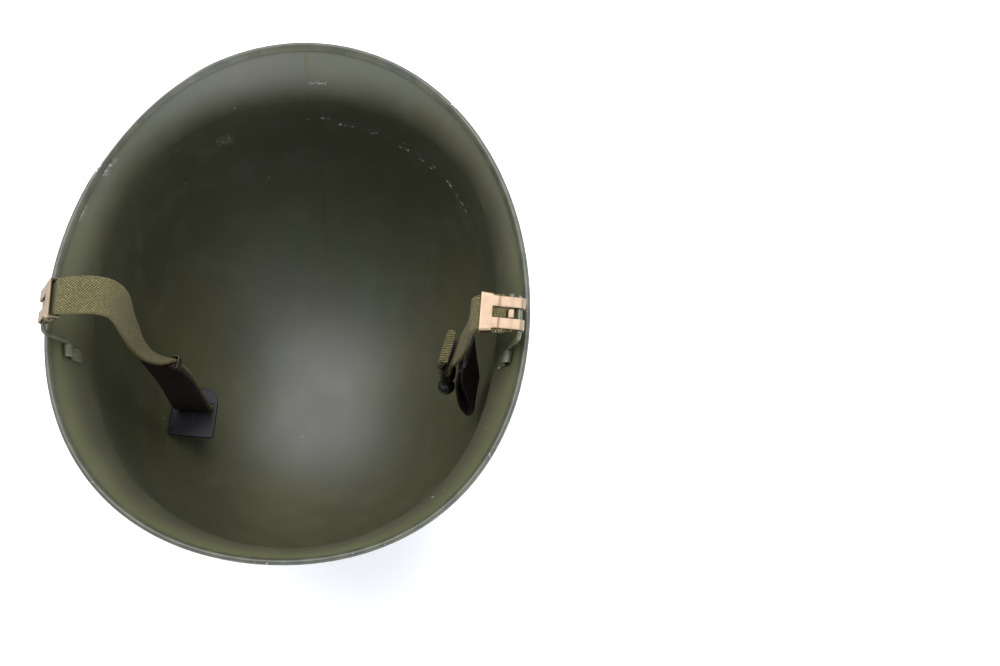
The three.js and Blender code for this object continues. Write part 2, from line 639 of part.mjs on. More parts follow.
function place(name, geometry, material) {
  const mesh = new THREE.Mesh(geometry, material);
  mesh.name = name;
  helmet.add(mesh);
  return mesh;
}

const painted = finish(COLOURS.shell, 0.55, 0.1);
const paintedBand = finish(COLOURS.band, 0.5, 0.15);
const paintedLoop = finish(COLOURS.loop, 0.5, 0.3);
const web = finish(COLOURS.web, 0.95, 0);
const leather = finish(COLOURS.leather, 0.6, 0);
const blackSteel = finish(COLOURS.black, 0.35, 0.6);

place('shell', makeShell(), painted);
place('rim_band', makeRimBand(), paintedBand);

const held = {};
for (const [side, spec] of Object.entries(SIDES)) {
  const places = loopPlaces(spec);
  const frame = clipFrame(places, spec);
  place(`wire_loop_${side}`, makeWireLoop(places), paintedLoop);
  place(`loop_bracket_${side}_front`, makeBracket(places, 1), paintedLoop);
  place(`loop_bracket_${side}_rear`, makeBracket(places, -1), paintedLoop);
  place(`strap_clip_${side}`, makeClip(frame), finish(COLOURS[`clip_${side}`], 0.4, 0.6));
  held[side] = HELD_END.map(({ u, w, width, thick }) => {
    const { x, y, z } = V(u, 0, w).applyMatrix4(frame);
    const across = V(0, 1, 0).transformDirection(frame);
    return { x, y, z, turn: THREE.MathUtils.radToDeg(Math.atan2(Math.abs(across.y), across.x * Math.sign(across.y))), lift: 0, width, thick };
  });
}

const leftRoute = routeOf([...held.left, ...LEFT_WEB]);
const { from: firstChord, to: lastChord, of: chords } = LEATHER_CHORDS;
place('web_strap_left', strap(leftRoute, { steps: chords }), web);
place('leather_strap_left', strap(leftRoute, {
  from: firstChord / chords, to: lastChord / chords, steps: lastChord - firstChord,
  width: LEATHER_WIDTH, thick: LEATHER_THICK, lift: (WEB_THICK + LEATHER_THICK) / 2 + LEATHER_OFF,
}), leather);
place('strap_keeper_left', makeKeeper(leftRoute), finish(COLOURS.keeper, 0.4, 0.7));
place('release_plate', makeReleasePlate(), blackSteel);

const { turn: barTurn, swing: barSwing } = RELEASE_STUD;
const roundBar = BAR_TURN.map(({ out, up }) => {
  const { x, y, z } = V(0, up, out).applyMatrix4(studFrame());
  return { x, y, z, turn: barTurn, lift: -barSwing, width: WEB_WIDTH, thick: WEB_THICK };
});
const rightRoute = routeOf([...held.right, ...RIGHT_WEB, ...roundBar, ...RIGHT_WEB_END]);
place('web_strap_right', strap(rightRoute, { steps: 75 }), web);
place('leather_loop_right', strap(routeOf(RIGHT_LEATHER), { steps: 36, width: WEB_WIDTH, thick: LEATHER_THICK }), leather);
place('release_stud', makeReleaseStud(), blackSteel);

export default helmet;
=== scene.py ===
"""Dresses a pressed steel helmet shell that lies on its crown, with its two half chin straps."""

import logging
import math
from dataclasses import dataclass
from enum import Enum
from functools import cache
from typing import Callable, Iterable, Mapping, Sequence, Union

import bmesh
import bpy
import numpy as np
from mathutils import Matrix, Vector


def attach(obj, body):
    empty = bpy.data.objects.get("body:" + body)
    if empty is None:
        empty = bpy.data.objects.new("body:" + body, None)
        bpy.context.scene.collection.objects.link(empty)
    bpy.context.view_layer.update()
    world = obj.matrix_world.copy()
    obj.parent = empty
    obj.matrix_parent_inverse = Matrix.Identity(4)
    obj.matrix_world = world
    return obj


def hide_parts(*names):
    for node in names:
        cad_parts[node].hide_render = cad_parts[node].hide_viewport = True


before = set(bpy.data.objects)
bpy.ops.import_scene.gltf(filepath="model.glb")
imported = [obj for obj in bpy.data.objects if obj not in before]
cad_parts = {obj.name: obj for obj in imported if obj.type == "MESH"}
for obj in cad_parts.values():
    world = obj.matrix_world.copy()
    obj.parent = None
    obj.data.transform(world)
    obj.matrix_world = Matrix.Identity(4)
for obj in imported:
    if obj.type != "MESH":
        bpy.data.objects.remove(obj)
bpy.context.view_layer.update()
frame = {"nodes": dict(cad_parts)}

LOG = logging.getLogger("helmet")
MM = 0.001
RIM_CENTRE_Y = 5.0  # the rim's middle lies this far in front of the crown rest
Socket = bpy.types.NodeSocket
Feed = Union[Socket, bpy.types.Node, float, int, str, bool, tuple, bpy.types.ID]
Step = tuple[Feed, ...]
Row = tuple[float, ...]
Spot = tuple[float, float]
Place = tuple[float, float, float]


class Side(Enum):
    """The helmet's two sides, as the sign of X."""

    LEFT = -1
    RIGHT = 1


class End(Enum):
    """The two ends of a loop, as the sign of Y."""

    FRONT = 1
    REAR = -1


class Wall(Enum):
    """The walls of a clip's sleeve."""

    FRONT = "front"
    BACK = "back"
    SIDE = "side"


RingPoint = tuple[float, float, Wall]


def linear(code: str) -> tuple[float, float, float, float]:
    """Turn an sRGB hex value into the linear colour that a socket takes."""
    parts = [int(code[i : i + 2], 16) / 255 for i in (1, 3, 5)]
    return (*(c / 12.92 if c <= 0.04045 else ((c + 0.055) / 1.055) ** 2.4 for c in parts), 1.0)


def per_mm(size: float) -> float:
    """Scale of a pattern whose parts are size millimetres across, on coordinates in metres."""
    return 1 / (size * MM)


# Nodes


@dataclass(frozen=True)
class Kind:
    """A kind of node as a recipe writes it: its type, its settings, the inputs that a row's operands
    go to in order, and the output that is the row's result."""

    node: str
    settings: Mapping[str, Feed]
    inputs: tuple[int | str, ...]
    output: int | str = 0


KINDS: dict[str, Kind] = {
    "ATTRIBUTE": Kind("ShaderNodeAttribute", {}, ("attribute_name",), "Fac"),
    "NOISE": Kind("ShaderNodeTexNoise", {}, ("Vector", "Scale", "Detail", "Roughness")),
    "CELL_DISTANCE": Kind("ShaderNodeTexVoronoi", {}, ("Vector", "Scale"), "Distance"),
    "CELL_COLOUR": Kind("ShaderNodeTexVoronoi", {}, ("Vector", "Scale"), "Color"),
    # how far a value is from low to high, held between 0 and 1 and eased
    "EASE": Kind(
        "ShaderNodeMapRange", {"interpolation_type": "SMOOTHSTEP"}, ("Value", "From Min", "From Max")),
    "MIX": Kind("ShaderNodeMix", {"data_type": "RGBA"}, (0, 6, 7), 2),
    "BUMP": Kind("ShaderNodeBump", {}, ("Height", "Distance", "Strength", "Normal")),
    "MAPPING": Kind("ShaderNodeMapping", {}, ("Vector", "Rotation", "Scale")),
    "RED": Kind("ShaderNodeSeparateColor", {}, (0,), 0),
    "GREEN": Kind("ShaderNodeSeparateColor", {}, (0,), 1),
    "X": Kind("ShaderNodeSeparateXYZ", {}, (0,), "X"),
    "Z": Kind("ShaderNodeSeparateXYZ", {}, (0,), "Z"),
    "COMBINE": Kind("ShaderNodeCombineXYZ", {}, ("X", "Y", "Z")),
    "VECTOR_ADD": Kind("ShaderNodeVectorMath", {"operation": "ADD"}, (0, 1)),
    "VECTOR_SUBTRACT": Kind("ShaderNodeVectorMath", {"operation": "SUBTRACT"}, (0, 1)),
    "VECTOR_MULTIPLY": Kind("ShaderNodeVectorMath", {"operation": "MULTIPLY"}, (0, 1)),
    "VECTOR_SCALE": Kind("ShaderNodeVectorMath", {"operation": "SCALE"}, (0, "Scale")),
    "CROSS": Kind("ShaderNodeVectorMath", {"operation": "CROSS_PRODUCT"}, (0, 1)),
    "DOT": Kind("ShaderNodeVectorMath", {"operation": "DOT_PRODUCT"}, (0, 1), "Value"),
    "LENGTH": Kind("ShaderNodeVectorMath", {"operation": "LENGTH"}, (0,), "Value"),
    "STORED": Kind("GeometryNodeInputNamedAttribute", {"data_type": "FLOAT"}, ("Name",)),
    "STORED_VECTOR": Kind("GeometryNodeInputNamedAttribute", {"data_type": "FLOAT_VECTOR"}, ("Name",)),
    "OBJECT": Kind("GeometryNodeObjectInfo", {}, ("Object",), "Geometry"),
    "CURVE": Kind("GeometryNodeMeshToCurve", {}, ("Mesh",)),
    "SWEEP": Kind("GeometryNodeCurveToMesh", {}, ("Curve", "Profile Curve", "Fill Caps")),
    "PLACE": Kind("GeometryNodeSetPosition", {}, ("Geometry", "Position")),
    "EVEN": Kind("GeometryNodeResampleCurve", {"mode": "LENGTH"}, ("Curve", "Length")),
    "BEAD": Kind("GeometryNodeMeshUVSphere", {}, ("Segments", "Rings", "Radius")),
    "TANGENT": Kind("GeometryNodeInputTangent", {}, ()),
    "TURN": Kind("FunctionNodeAlignRotationToVector", {"axis": "Z"}, ("Vector",)),
    "REPEAT": Kind("GeometryNodeInstanceOnPoints", {}, ("Points", "Instance", "Rotation", "Scale")),
    "REALIZE": Kind("GeometryNodeRealizeInstances", {}, ("Geometry",)),
    "DRESS": Kind("GeometryNodeSetMaterial", {}, ("Geometry", "Material"))}
WRITTEN_OUT = ("attribute_name", "Name")  # what takes a word as it is


def add(tree: bpy.types.NodeTree, kind: str, settings: Mapping[str, Feed] | None = None,
        feed: Mapping[int | str, Feed] | None = None) -> bpy.types.Node:
    """Add one node to a tree.

    Args:
        tree: the shader or geometry tree.
        kind: the node's type.
        settings: its own properties.
        feed: what each input gets, a value or another node's output.
    Returns:
        The node.
    """
    node = tree.nodes.new(kind)
    for name, value in (settings or {}).items():
        setattr(node, name, value)
    for key, value in (feed or {}).items():
        if isinstance(value, Socket):
            tree.links.new(value, node.inputs[key])
        else:
            node.inputs[key].default_value = value
    return node


def lay_out(tree: bpy.types.NodeTree, known: dict[str, Feed], recipe: Iterable[Step]) -> dict[str, Feed]:
    """Lay out the nodes of a written recipe.

    Args:
        tree: the tree that the nodes go in.
        known: values and sockets by name; each result is added to it.
        recipe: rows of a result's name, the kind of node and its operands, which are names of
            results, numbers, vectors or hex colours. A kind that KINDS lacks is an operation of
            the Math node.
    Returns:
        The same names, with the results.
    """
    for name, word, *operands in recipe:
        kind = KINDS.get(word) or Kind("ShaderNodeMath", {"operation": word}, (0, 1, 2))
        settings, feed = dict(kind.settings), {}
        for key, value in zip(kind.inputs, operands):
            if isinstance(value, str) and key not in WRITTEN_OUT:
                value = linear(value) if value.startswith("#") else known[value]
            (settings if key == "attribute_name" else feed)[key] = value
        known[name] = add(tree, kind.node, settings, feed).outputs[kind.output]
    return known


def growth_tree(name: str, inputs: Sequence[tuple[str, str, Feed]],
                recipe: Iterable[Step]) -> bpy.types.NodeTree:
    """Build a geometry tree that ends in Realize Instances and Set Material.

    Args:
        name: the tree's name.
        inputs: rows of an input's name, its kind of socket and its value, beside Geometry and Material.
        recipe: rows for lay_out, which start from the inputs' names and end in grown.
    Returns:
        The tree.
    """
    tree = bpy.data.node_groups.new(name, "GeometryNodeTree")
    for label, kind, value in (("Geometry", "Geometry", None), *inputs, ("Material", "Material", None)):
        socket = tree.interface.new_socket(label, in_out="INPUT", socket_type="NodeSocket" + kind)
        if value is not None:
            socket.default_value = value
    tree.interface.new_socket("Geometry", in_out="OUTPUT", socket_type="NodeSocketGeometry")
    start = add(tree, "NodeGroupInput")
    known: dict[str, Feed] = {socket.name: socket for socket in start.outputs if socket.name}
    lay_out(tree, known, [*recipe, ("whole", "REALIZE", "grown"), ("dressed", "DRESS", "whole", "Material")])
    tree.links.new(known["dressed"], add(tree, "NodeGroupOutput").inputs[0])
    return tree


@cache
def sweep_tree() -> bpy.types.NodeTree:
    """Build the tree that sweeps a section along a line: each point is the line's centre, plus its
    side times the section's a, plus its face times the section's b.

    Returns:
        The tree, the same one each time.
    """
    return growth_tree("swept section", [("Section", "Object", None), ("Caps", "Bool", True)], [
        ("line", "CURVE", "Geometry"), ("outline", "OBJECT", "Section"), ("ring", "CURVE", "outline"),
        ("body", "SWEEP", "line", "ring", "Caps"),
        *((key, "STORED_VECTOR", key) for key in ("centre", "side", "face")),
        ("a", "STORED", "a"), ("across", "VECTOR_SCALE", "side", "a"),
        ("place", "VECTOR_ADD", "centre", "across"),
        ("b", "STORED", "b"), ("through", "VECTOR_SCALE", "face", "b"),
        ("place", "VECTOR_ADD", "place", "through"),
        ("grown", "PLACE", "body", "place")])


@cache
def stitch_tree() -> bpy.types.NodeTree:
    """Build the tree that lays thread stitches of one length along a line, a gap apart.

    Returns:
        The tree, the same one each time.
    """
    inputs = [("Pitch", "Float", 0.003), ("Stitch", "Float", 0.0022), ("Thread", "Float", 0.0005)]
    return growth_tree("row of stitches", inputs, [
        ("line", "CURVE", "Geometry"), ("even", "EVEN", "line", "Pitch"), ("r", "MULTIPLY", "Thread", 0.5),
        ("half", "MULTIPLY", "Stitch", 0.5), ("bead", "BEAD", 8, 6, 1.0),
        ("scale", "COMBINE", "r", "r", "half"),
        ("tangent", "TANGENT"), ("turn", "TURN", "tangent"),
        ("grown", "REPEAT", "even", "bead", "turn", "scale")])


# Meshes


def in_frame(points: np.ndarray) -> np.ndarray:
    """Millimetres from the rim's middle, as the source gives them, to metres in the row frame."""
    return (np.asarray(points, float) + np.array([0.0, RIM_CENTRE_Y, 0.0])) * MM


def new_object(name: str, data: bpy.types.ID) -> bpy.types.Object:
    """Put a mesh, a curve, a lamp or a camera in the scene.

    Args:
        name: the object's name.
        data: what it holds.
    Returns:
        The object.
    """
    made = bpy.data.objects.new(name, data)
    bpy.context.scene.collection.objects.link(made)
    return made


def mesh_of(name: str, points: np.ndarray, faces: Sequence = (), edges: Sequence = ()) -> bpy.types.Object:
    """Make an object from points.

    Args:
        name: its name.
        points: places in metres.
        faces: each face's points by number.
        edges: each edge's points by number, where there are no faces.
    Returns:
        The object.
    """
    mesh = bpy.data.meshes.new(name)
    mesh.from_pydata(np.asarray(points, float).tolist(), list(edges), list(faces))
    return new_object(name, mesh)


def store(made: bpy.types.Object, name: str, values: np.ndarray) -> None:
    """Keep a number or a vector for each point of an object's mesh.

    Args:
        made: the object.
        name: the attribute's name.
        values: a row for each point.
    """
    values = np.asarray(values, np.float32)
    vector = values.ndim == 2
    layer = made.data.attributes.new(name, "FLOAT_VECTOR" if vector else "FLOAT", "POINT")
    layer.data.foreach_set("vector" if vector else "value", values.ravel())


def stored(made: bpy.types.Object, name: str) -> np.ndarray:
    """Read back the numbers that a mesh keeps for its points.

    Args:
        made: the object.
        name: the attribute's name.
    Returns:
        A number for each point.
    """
    values = np.zeros(len(made.data.vertices), np.float32)
    made.data.attributes[name].data.foreach_get("value", values)
    return values


def baked(made: bpy.types.Object) -> bpy.types.Object:
    """Turn an object with its modifiers into a plain mesh of the same name.

    Args:
        made: the object, which is used up.
    Returns:
        The new object.
    """
    bpy.context.view_layer.update()
    graph = bpy.context.evaluated_depsgraph_get()
    mesh = bpy.data.meshes.new_from_object(made.evaluated_get(graph), depsgraph=graph)
    name, place = made.name, made.matrix_world.copy()
    bpy.data.objects.remove(made)
    mesh.transform(place)
    mesh.name = name
    return new_object(name, mesh)


def shaded(made: bpy.types.Object, sharp: float) -> bpy.types.Object:
    """Shade an object smooth, with sharp folds.

    Args:
        made: the object.
        sharp: the angle in degrees from which an edge is a fold.
    Returns:
        The same object.
    """
    made.data.polygons.foreach_set("use_smooth", [True] * len(made.data.polygons))
    made.data.set_sharp_from_angle(angle=math.radians(sharp))
    return made


def tidy(made: bpy.types.Object, sharp: float = 38.0) -> bpy.types.Object:
    """Merge doubles, point the faces out and shade smooth with sharp folds.

    Args:
        made: a closed mesh, or a sheet that gets its thickness later.
        sharp: the angle in degrees from which an edge is a fold.
    Returns:
        The same object.
    """
    work = bmesh.new()
    work.from_mesh(made.data)
    bmesh.ops.remove_doubles(work, verts=work.verts, dist=1e-6)
    bmesh.ops.recalc_face_normals(work, faces=work.faces)
    work.to_mesh(made.data)
    work.free()
    return shaded(made, sharp)


def joined(name: str, parts: Sequence[bpy.types.Object]) -> bpy.types.Object:
    """Join finished meshes of one piece into one object.

    Args:
        name: the new object's name.
        parts: the objects, which are used up; the first one's materials are kept.
    Returns:
        The object.
    """
    work = bmesh.new()
    for part in parts:
        work.from_mesh(part.data)
    mesh = bpy.data.meshes.new(name)
    for material in parts[0].data.materials:
        mesh.materials.append(material)
    work.to_mesh(mesh)
    work.free()
    for part in parts:
        bpy.data.objects.remove(part)
    return new_object(name, mesh)


def modified(made: bpy.types.Object, kind: str, **settings: Feed) -> bpy.types.Object:
    """Add a modifier to an object.

    Args:
        made: the object.
        kind: the modifier's type.
        **settings: its properties.
    Returns:
        The same object.
    """
    modifier = made.modifiers.new(kind.lower(), kind)
    for name, value in settings.items():
        setattr(modifier, name, value)
    return made


def hand_over(made: bpy.types.Object, node: str, slot: str, *finishes: bpy.types.Material) -> None:
    """Dress a finished piece and let it stand for its CAD node.

    Args:
        made: the piece.
        node: the CAD node's name.
        slot: the name of its material slot, which is only logged.
        *finishes: the materials it gets, where it doesn't have its own yet.
    """
    if finishes and made.data.materials:
        made.data.materials.clear()  # on an empty list it would lose which face has which
    for finish in finishes:
        made.data.materials.append(finish)
    made.name = node + "_dressed"
    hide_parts(node)
    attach(made, "root")
    LOG.info("%s: %d faces, slot %s", made.name, len(made.data.polygons), slot)


def grown(name: str, tree: bpy.types.NodeTree, base: bpy.types.Object,
          values: Mapping[str, Feed]) -> bpy.types.Object:
    """Run a Geometry Nodes tree on a base object and keep its result as a plain mesh.

    Args:
        name: the result's name.
        tree: the tree.
        base: the object that it grows on, which is used up.
        values: the tree's inputs by name.
    Returns:
        The object.
    """
    modifier = base.modifiers.new("growth", "NODES")
    modifier.node_group = tree
    for item in tree.interface.items_tree:
        if item.item_type == "SOCKET" and item.in_out == "INPUT" and item.name in values:
            modifier[item.identifier] = values[item.name]
    made = baked(base)
    made.name = made.data.name = name
    for scratch in ("centre", "side", "face"):
        if scratch in made.data.attributes:
            made.data.attributes.remove(made.data.attributes[scratch])
    return made


def line_object(name: str, points: np.ndarray, closed: bool,
                values: Mapping[str, np.ndarray]) -> bpy.types.Object:
    """Make a line of points that carries values, for a tree to grow on.

    Args:
        name: its name.
        points: places in metres.
        closed: whether it comes back to its start.
        values: numbers or vectors for its points, by the attribute's name.
    Returns:
        The object.
    """
    count = len(points)
    links = [(i, (i + 1) % count) for i in range(count if closed else count - 1)]
    made = mesh_of(name, points, edges=links)
    for label, column in values.items():
        store(made, label, column)
    return made


def rounded_box(half_a: float, half_b: float, radius_a: float, radius_b: float,
                across: int = 8) -> np.ndarray:
    """Draw a closed section, a rectangle with rounded corners.

    Args:
        half_a: half its width.
        half_b: half its thickness.
        radius_a: how far a corner's round reaches along the width.
        radius_b: how far it reaches through the thickness.
        across: the number of stretches that a long face is divided in.
    Returns:
        The section's a and b.
    """
    points: list[Spot] = []
    for start, (sa, sb) in zip((270, 0, 90, 180), ((1, -1), (1, 1), (-1, 1), (-1, -1))):
        for step in range(4):
            angle = math.radians(start + 30 * step)
            points.append((sa * (half_a - radius_a) + radius_a * math.cos(angle),
                           sb * (half_b - radius_b) + radius_b * math.sin(angle)))
        if start in (0, 180):
            flat = np.linspace(sa * (half_a - radius_a), -sa * (half_a - radius_a), across + 1)[1:-1]
            points.extend((float(a), sb * half_b) for a in flat)
    return np.array(points)


def swept(name: str, line: "Line", section: np.ndarray, closed: bool = False,
          sharp: float = 38.0) -> bpy.types.Object:
    """Sweep a section along a line with the sweep tree.

    Args:
        name: the new object's name.
        line: the centres, sides and faces, in the source's millimetres.
        section: the section's a and b.
        closed: whether the line comes back to its start.
        sharp: the angle in degrees from which an edge is a fold.
    Returns:
        The object, a plain mesh with the attributes a, b and along.
    """
    place = in_frame(line.centre)
    base = line_object(name + "_line", place, closed, {
        "centre": place, "side": line.side * MM, "face": line.face * MM, "along": line.along() * MM})
    ring = line_object(name + "_section", np.column_stack([section * MM, np.zeros(len(section))]), True, {
        "a": section[:, 0], "b": section[:, 1]})
    made = grown(name, sweep_tree(), base, {"Section": ring, "Caps": not closed})
    bpy.data.objects.remove(ring)
    made.data.materials.clear()
    return tidy(made, sharp)


@dataclass
class Line:
    """A line in space with a side and a face direction at each point, in millimetres."""

    centre: np.ndarray
    side: np.ndarray
    face: np.ndarray

    def along(self) -> np.ndarray:
        """Distance from the start at each point."""
        steps = np.linalg.norm(np.diff(self.centre, axis=0), axis=1)
        return np.concatenate([[0.0], np.cumsum(steps)])

    def part(self, start: float, stop: float) -> "Line":
        """The stretch between two shares of the number of points."""
        low, high = (round(share * (len(self.centre) - 1)) for share in (start, stop))
        return Line(self.centre[low : high + 1], self.side[low : high + 1], self.face[low : high + 1])

    def moved(self, side: float, face: float) -> "Line":
        """The same line moved over along its side and its face, in millimetres."""
        return Line(self.centre + unit(self.side) * side + unit(self.face) * face, self.side, self.face)

    def plain(self) -> "Line":
        """The same line with directions of length one, for a section in millimetres."""
        return Line(self.centre, unit(self.side), unit(self.face))


def unit(vectors: np.ndarray) -> np.ndarray:
    """Vectors brought to length one."""
    return vectors / np.linalg.norm(vectors, axis=-1, keepdims=True)


def carried(points: np.ndarray, first: Vector) -> Line:
    """Lay a line through points, whose side is carried along without twist, as a round wire needs.

    Args:
        points: places along it in millimetres.
        first: about where the side points at the start.
    Returns:
        The line.
    """
    ahead = unit(np.gradient(points, axis=0))
    side = np.zeros_like(points)
    current = np.array(first, float)
    for i, direction in enumerate(ahead):
        current = unit(current - direction * np.dot(current, direction))
        side[i] = current
    return Line(points, side, np.cross(ahead, side))


def bent(corners: Sequence[tuple[np.ndarray, float]], steps: int = 8) -> np.ndarray:
    """Lay a path of straight runs with rounded bends.

    Args:
        corners: each corner and the length that its bend takes from the runs, 0 at the two ends.
        steps: points in each bend.
    Returns:
        The path's points.
    """
    points = [corners[0][0]]
    for (before, _), (here, bend), (after, _) in zip(corners, corners[1:], corners[2:]):
        enter = here + unit(before - here) * bend
        leave = here + unit(after - here) * bend
        points.extend(np.linspace(points[-1], enter, 9)[1:-1])
        for t in np.linspace(0, 1, steps):
            points.append(enter * (1 - t) ** 2 + here * 2 * t * (1 - t) + leave * t**2)
    points.extend(np.linspace(points[-1], corners[-1][0], 7)[1:])
    return np.array(points)


def arc(x: float, y: float, radius: float, start: float, stop: float, steps: int = 10) -> list[Spot]:
    """Points of an arc in degrees."""
    turn = np.radians(np.linspace(start, stop, steps))
    return [(x + radius * math.cos(a), y + radius * math.sin(a)) for a in turn]


# The form that the steel was pressed to


@dataclass(frozen=True)
class PressedForm:
    """Radii and heights of the shell by direction, every 30 degrees from front to back, in mm."""

    wall: float = 1.1
    bowl_power: float = 2.25
    crown_flat: float = 13.0
    fillet_side: float = 8.0
    fillet_peak: float = 22.0
    rim_inset: float = 1.75
    rim_drop: float = 0.7
    rim_radius: tuple[float, ...] = (142.5, 135.0, 123.0, 120.5, 130.0, 138.5, 138.0)
    rim_height: tuple[float, ...] = (159.0, 161.5, 168.5, 177.5, 180.5, 176.0, 172.0)
    neck_radius: tuple[float, ...] = (119.0, 117.5, 109.0, 102.5, 111.0, 121.0, 123.5)
    neck_height: tuple[float, ...] = (130.0, 133.0, 139.5, 144.0, 145.0, 143.0, 141.5)

    def around(self, values: Sequence[float], angle: np.ndarray) -> np.ndarray:
        """Run a series of cosines through values, the same on both sides.

        Args:
            values: a value every 30 degrees from front to back.
            angle: directions from the front, in radians.
        Returns:
            The value in each direction.
        """
        last = len(values) - 1
        weight = np.array([0.5] + [1.0] * (last - 1) + [0.5])
        orders = np.arange(last + 1)
        table = np.cos(np.pi * np.outer(orders, orders) / last)
        terms = table @ (weight * np.array(values)) * 2 * weight / last
        return sum(term * np.cos(order * angle) for order, term in zip(orders, terms))

    def outline(self, angle: np.ndarray) -> dict[str, np.ndarray]:
        """Work out the steel's middle surface by direction.

        Args:
            angle: directions from the front, in radians.
        Returns:
            Radius and height of the neck and the rim, and the fillet between them, in millimetres.
        """
        peak = np.maximum(0, np.cos(angle)) ** 2
        return {
            "neck_r": self.around(self.neck_radius, angle) + self.wall / 2,
            "neck_z": self.around(self.neck_height, angle),
            "rim_r": self.around(self.rim_radius, angle) - self.rim_inset,
            "rim_z": self.around(self.rim_height, angle) - self.rim_drop,
            "fillet": self.fillet_side + (self.fillet_peak - self.fillet_side) * peak}

    def flare_radius(self, angle: np.ndarray, z: np.ndarray) -> np.ndarray:
        """Work out the radius of the middle surface above the neck.

        Args:
            angle: directions from the front, in radians.
            z: heights in millimetres.
        Returns:
            The radius at each direction and height.
        """
        o = self.outline(angle)
        rises = (z - o["neck_z"], o["rim_z"] - o["neck_z"])
        here, full = (np.hypot(h, o["fillet"]) - o["fillet"] for h in rises)
        return o["neck_r"] + (o["rim_r"] - o["neck_r"]) * here / full

    def wall_x(self, y: float, z: float) -> float:
        """Find the inside of the right-hand wall between the neck and the rim.

        Args:
            y: the place from back to front.
            z: its height.
        Returns:
            Its x, in millimetres.
        """
        angle, x = math.pi / 2, 0.0
        for _ in range(12):
            radius = self.flare_radius(angle, z) - self.wall / 2
            x = math.sqrt(radius * radius - y * y)
            angle = math.atan2(x, y)
        return x

    def on_wall(self, y: float, z: float, off: float, step: float = 0.5) -> np.ndarray:
        """Find the place a distance off the inside of the right-hand wall.

        Args:
            y: the place from back to front.
            z: its height.
            off: the distance off the wall.
            step: the height over which the wall's slope is taken.
        Returns:
            The place in millimetres.
        """
        slope = (self.wall_x(y, z + step) - self.wall_x(y, z - step)) / (2 * step)
        steep = math.hypot(1, slope)
        return np.array([self.wall_x(y, z) - off / steep, y, z + off * slope / steep])


FORM = PressedForm()


# Finishes


@dataclass(frozen=True)
class Finish:
    """What the finishes share: each starts a material, lays out its recipe and ends in one shader."""

    name: str

    def recipe(self) -> list[Step]:
        """The rows that end in colour, normal and, where it varies, rough."""
        raise NotImplementedError

    def gloss(self) -> dict[str, float]:
        """Numbers that are the same all over the surface, by the shader's sockets."""
        return {}

    def build(self) -> bpy.types.Material:
        """Build the material.

        Returns:
            The material, whose patterns lie on Object coordinates and the piece's own attributes.
        """
        made = bpy.data.materials.new(self.name)
        made.use_nodes = True
        tree = made.node_tree
        tree.nodes.clear()
        known: dict[str, Feed] = {"where": add(tree, "ShaderNodeTexCoord").outputs["Object"]}
        lay_out(tree, known, self.recipe())
        feed = {"Base Color": known["colour"], "Normal": known["normal"], **self.gloss()}
        if "rough" in known:
            feed["Roughness"] = known["rough"]
        shader = add(tree, "ShaderNodeBsdfPrincipled", feed=feed)
        add(tree, "ShaderNodeOutputMaterial", feed={"Surface": shader.outputs[0]})
        return made


@dataclass(frozen=True)
class Scrape:
    """A place on the shell where the coat is scraped, in millimetres from the crown rest."""

    place: Place
    half_length: float
    half_width: float
    bare: float
    direction: Place = (1.0, 0.0, 0.0)
    squash: float = 0.2  # it counts height for less, so that it runs up and down the wall

    def recipe(self) -> list[Step]:
        """The rows that add this scrape to what is bare already.

        Returns:
            The rows, which end in bare.
        """
        centre = tuple(v * MM for v in self.place)
        width = self.half_width * MM
        return [
            ("from", "VECTOR_SUBTRACT", "where", centre),
            ("apart", "VECTOR_MULTIPLY", "from", (1.0, 1.0, self.squash)),
            ("length", "DOT", "apart", self.direction), ("off", "CROSS", "apart", self.direction),
            ("width", "LENGTH", "off"), ("inside", "EASE", "width", width, width * 0.2),
            ("far", "ABSOLUTE", "length"), ("end", "LESS_THAN", "far", self.half_length * MM),
            ("both", "MULTIPLY", "end", "inside"), ("rub", "MULTIPLY", "both", "torn"),
            ("mark", "MULTIPLY", "rub", self.bare), ("bare", "MAXIMUM", "bare", "mark")]


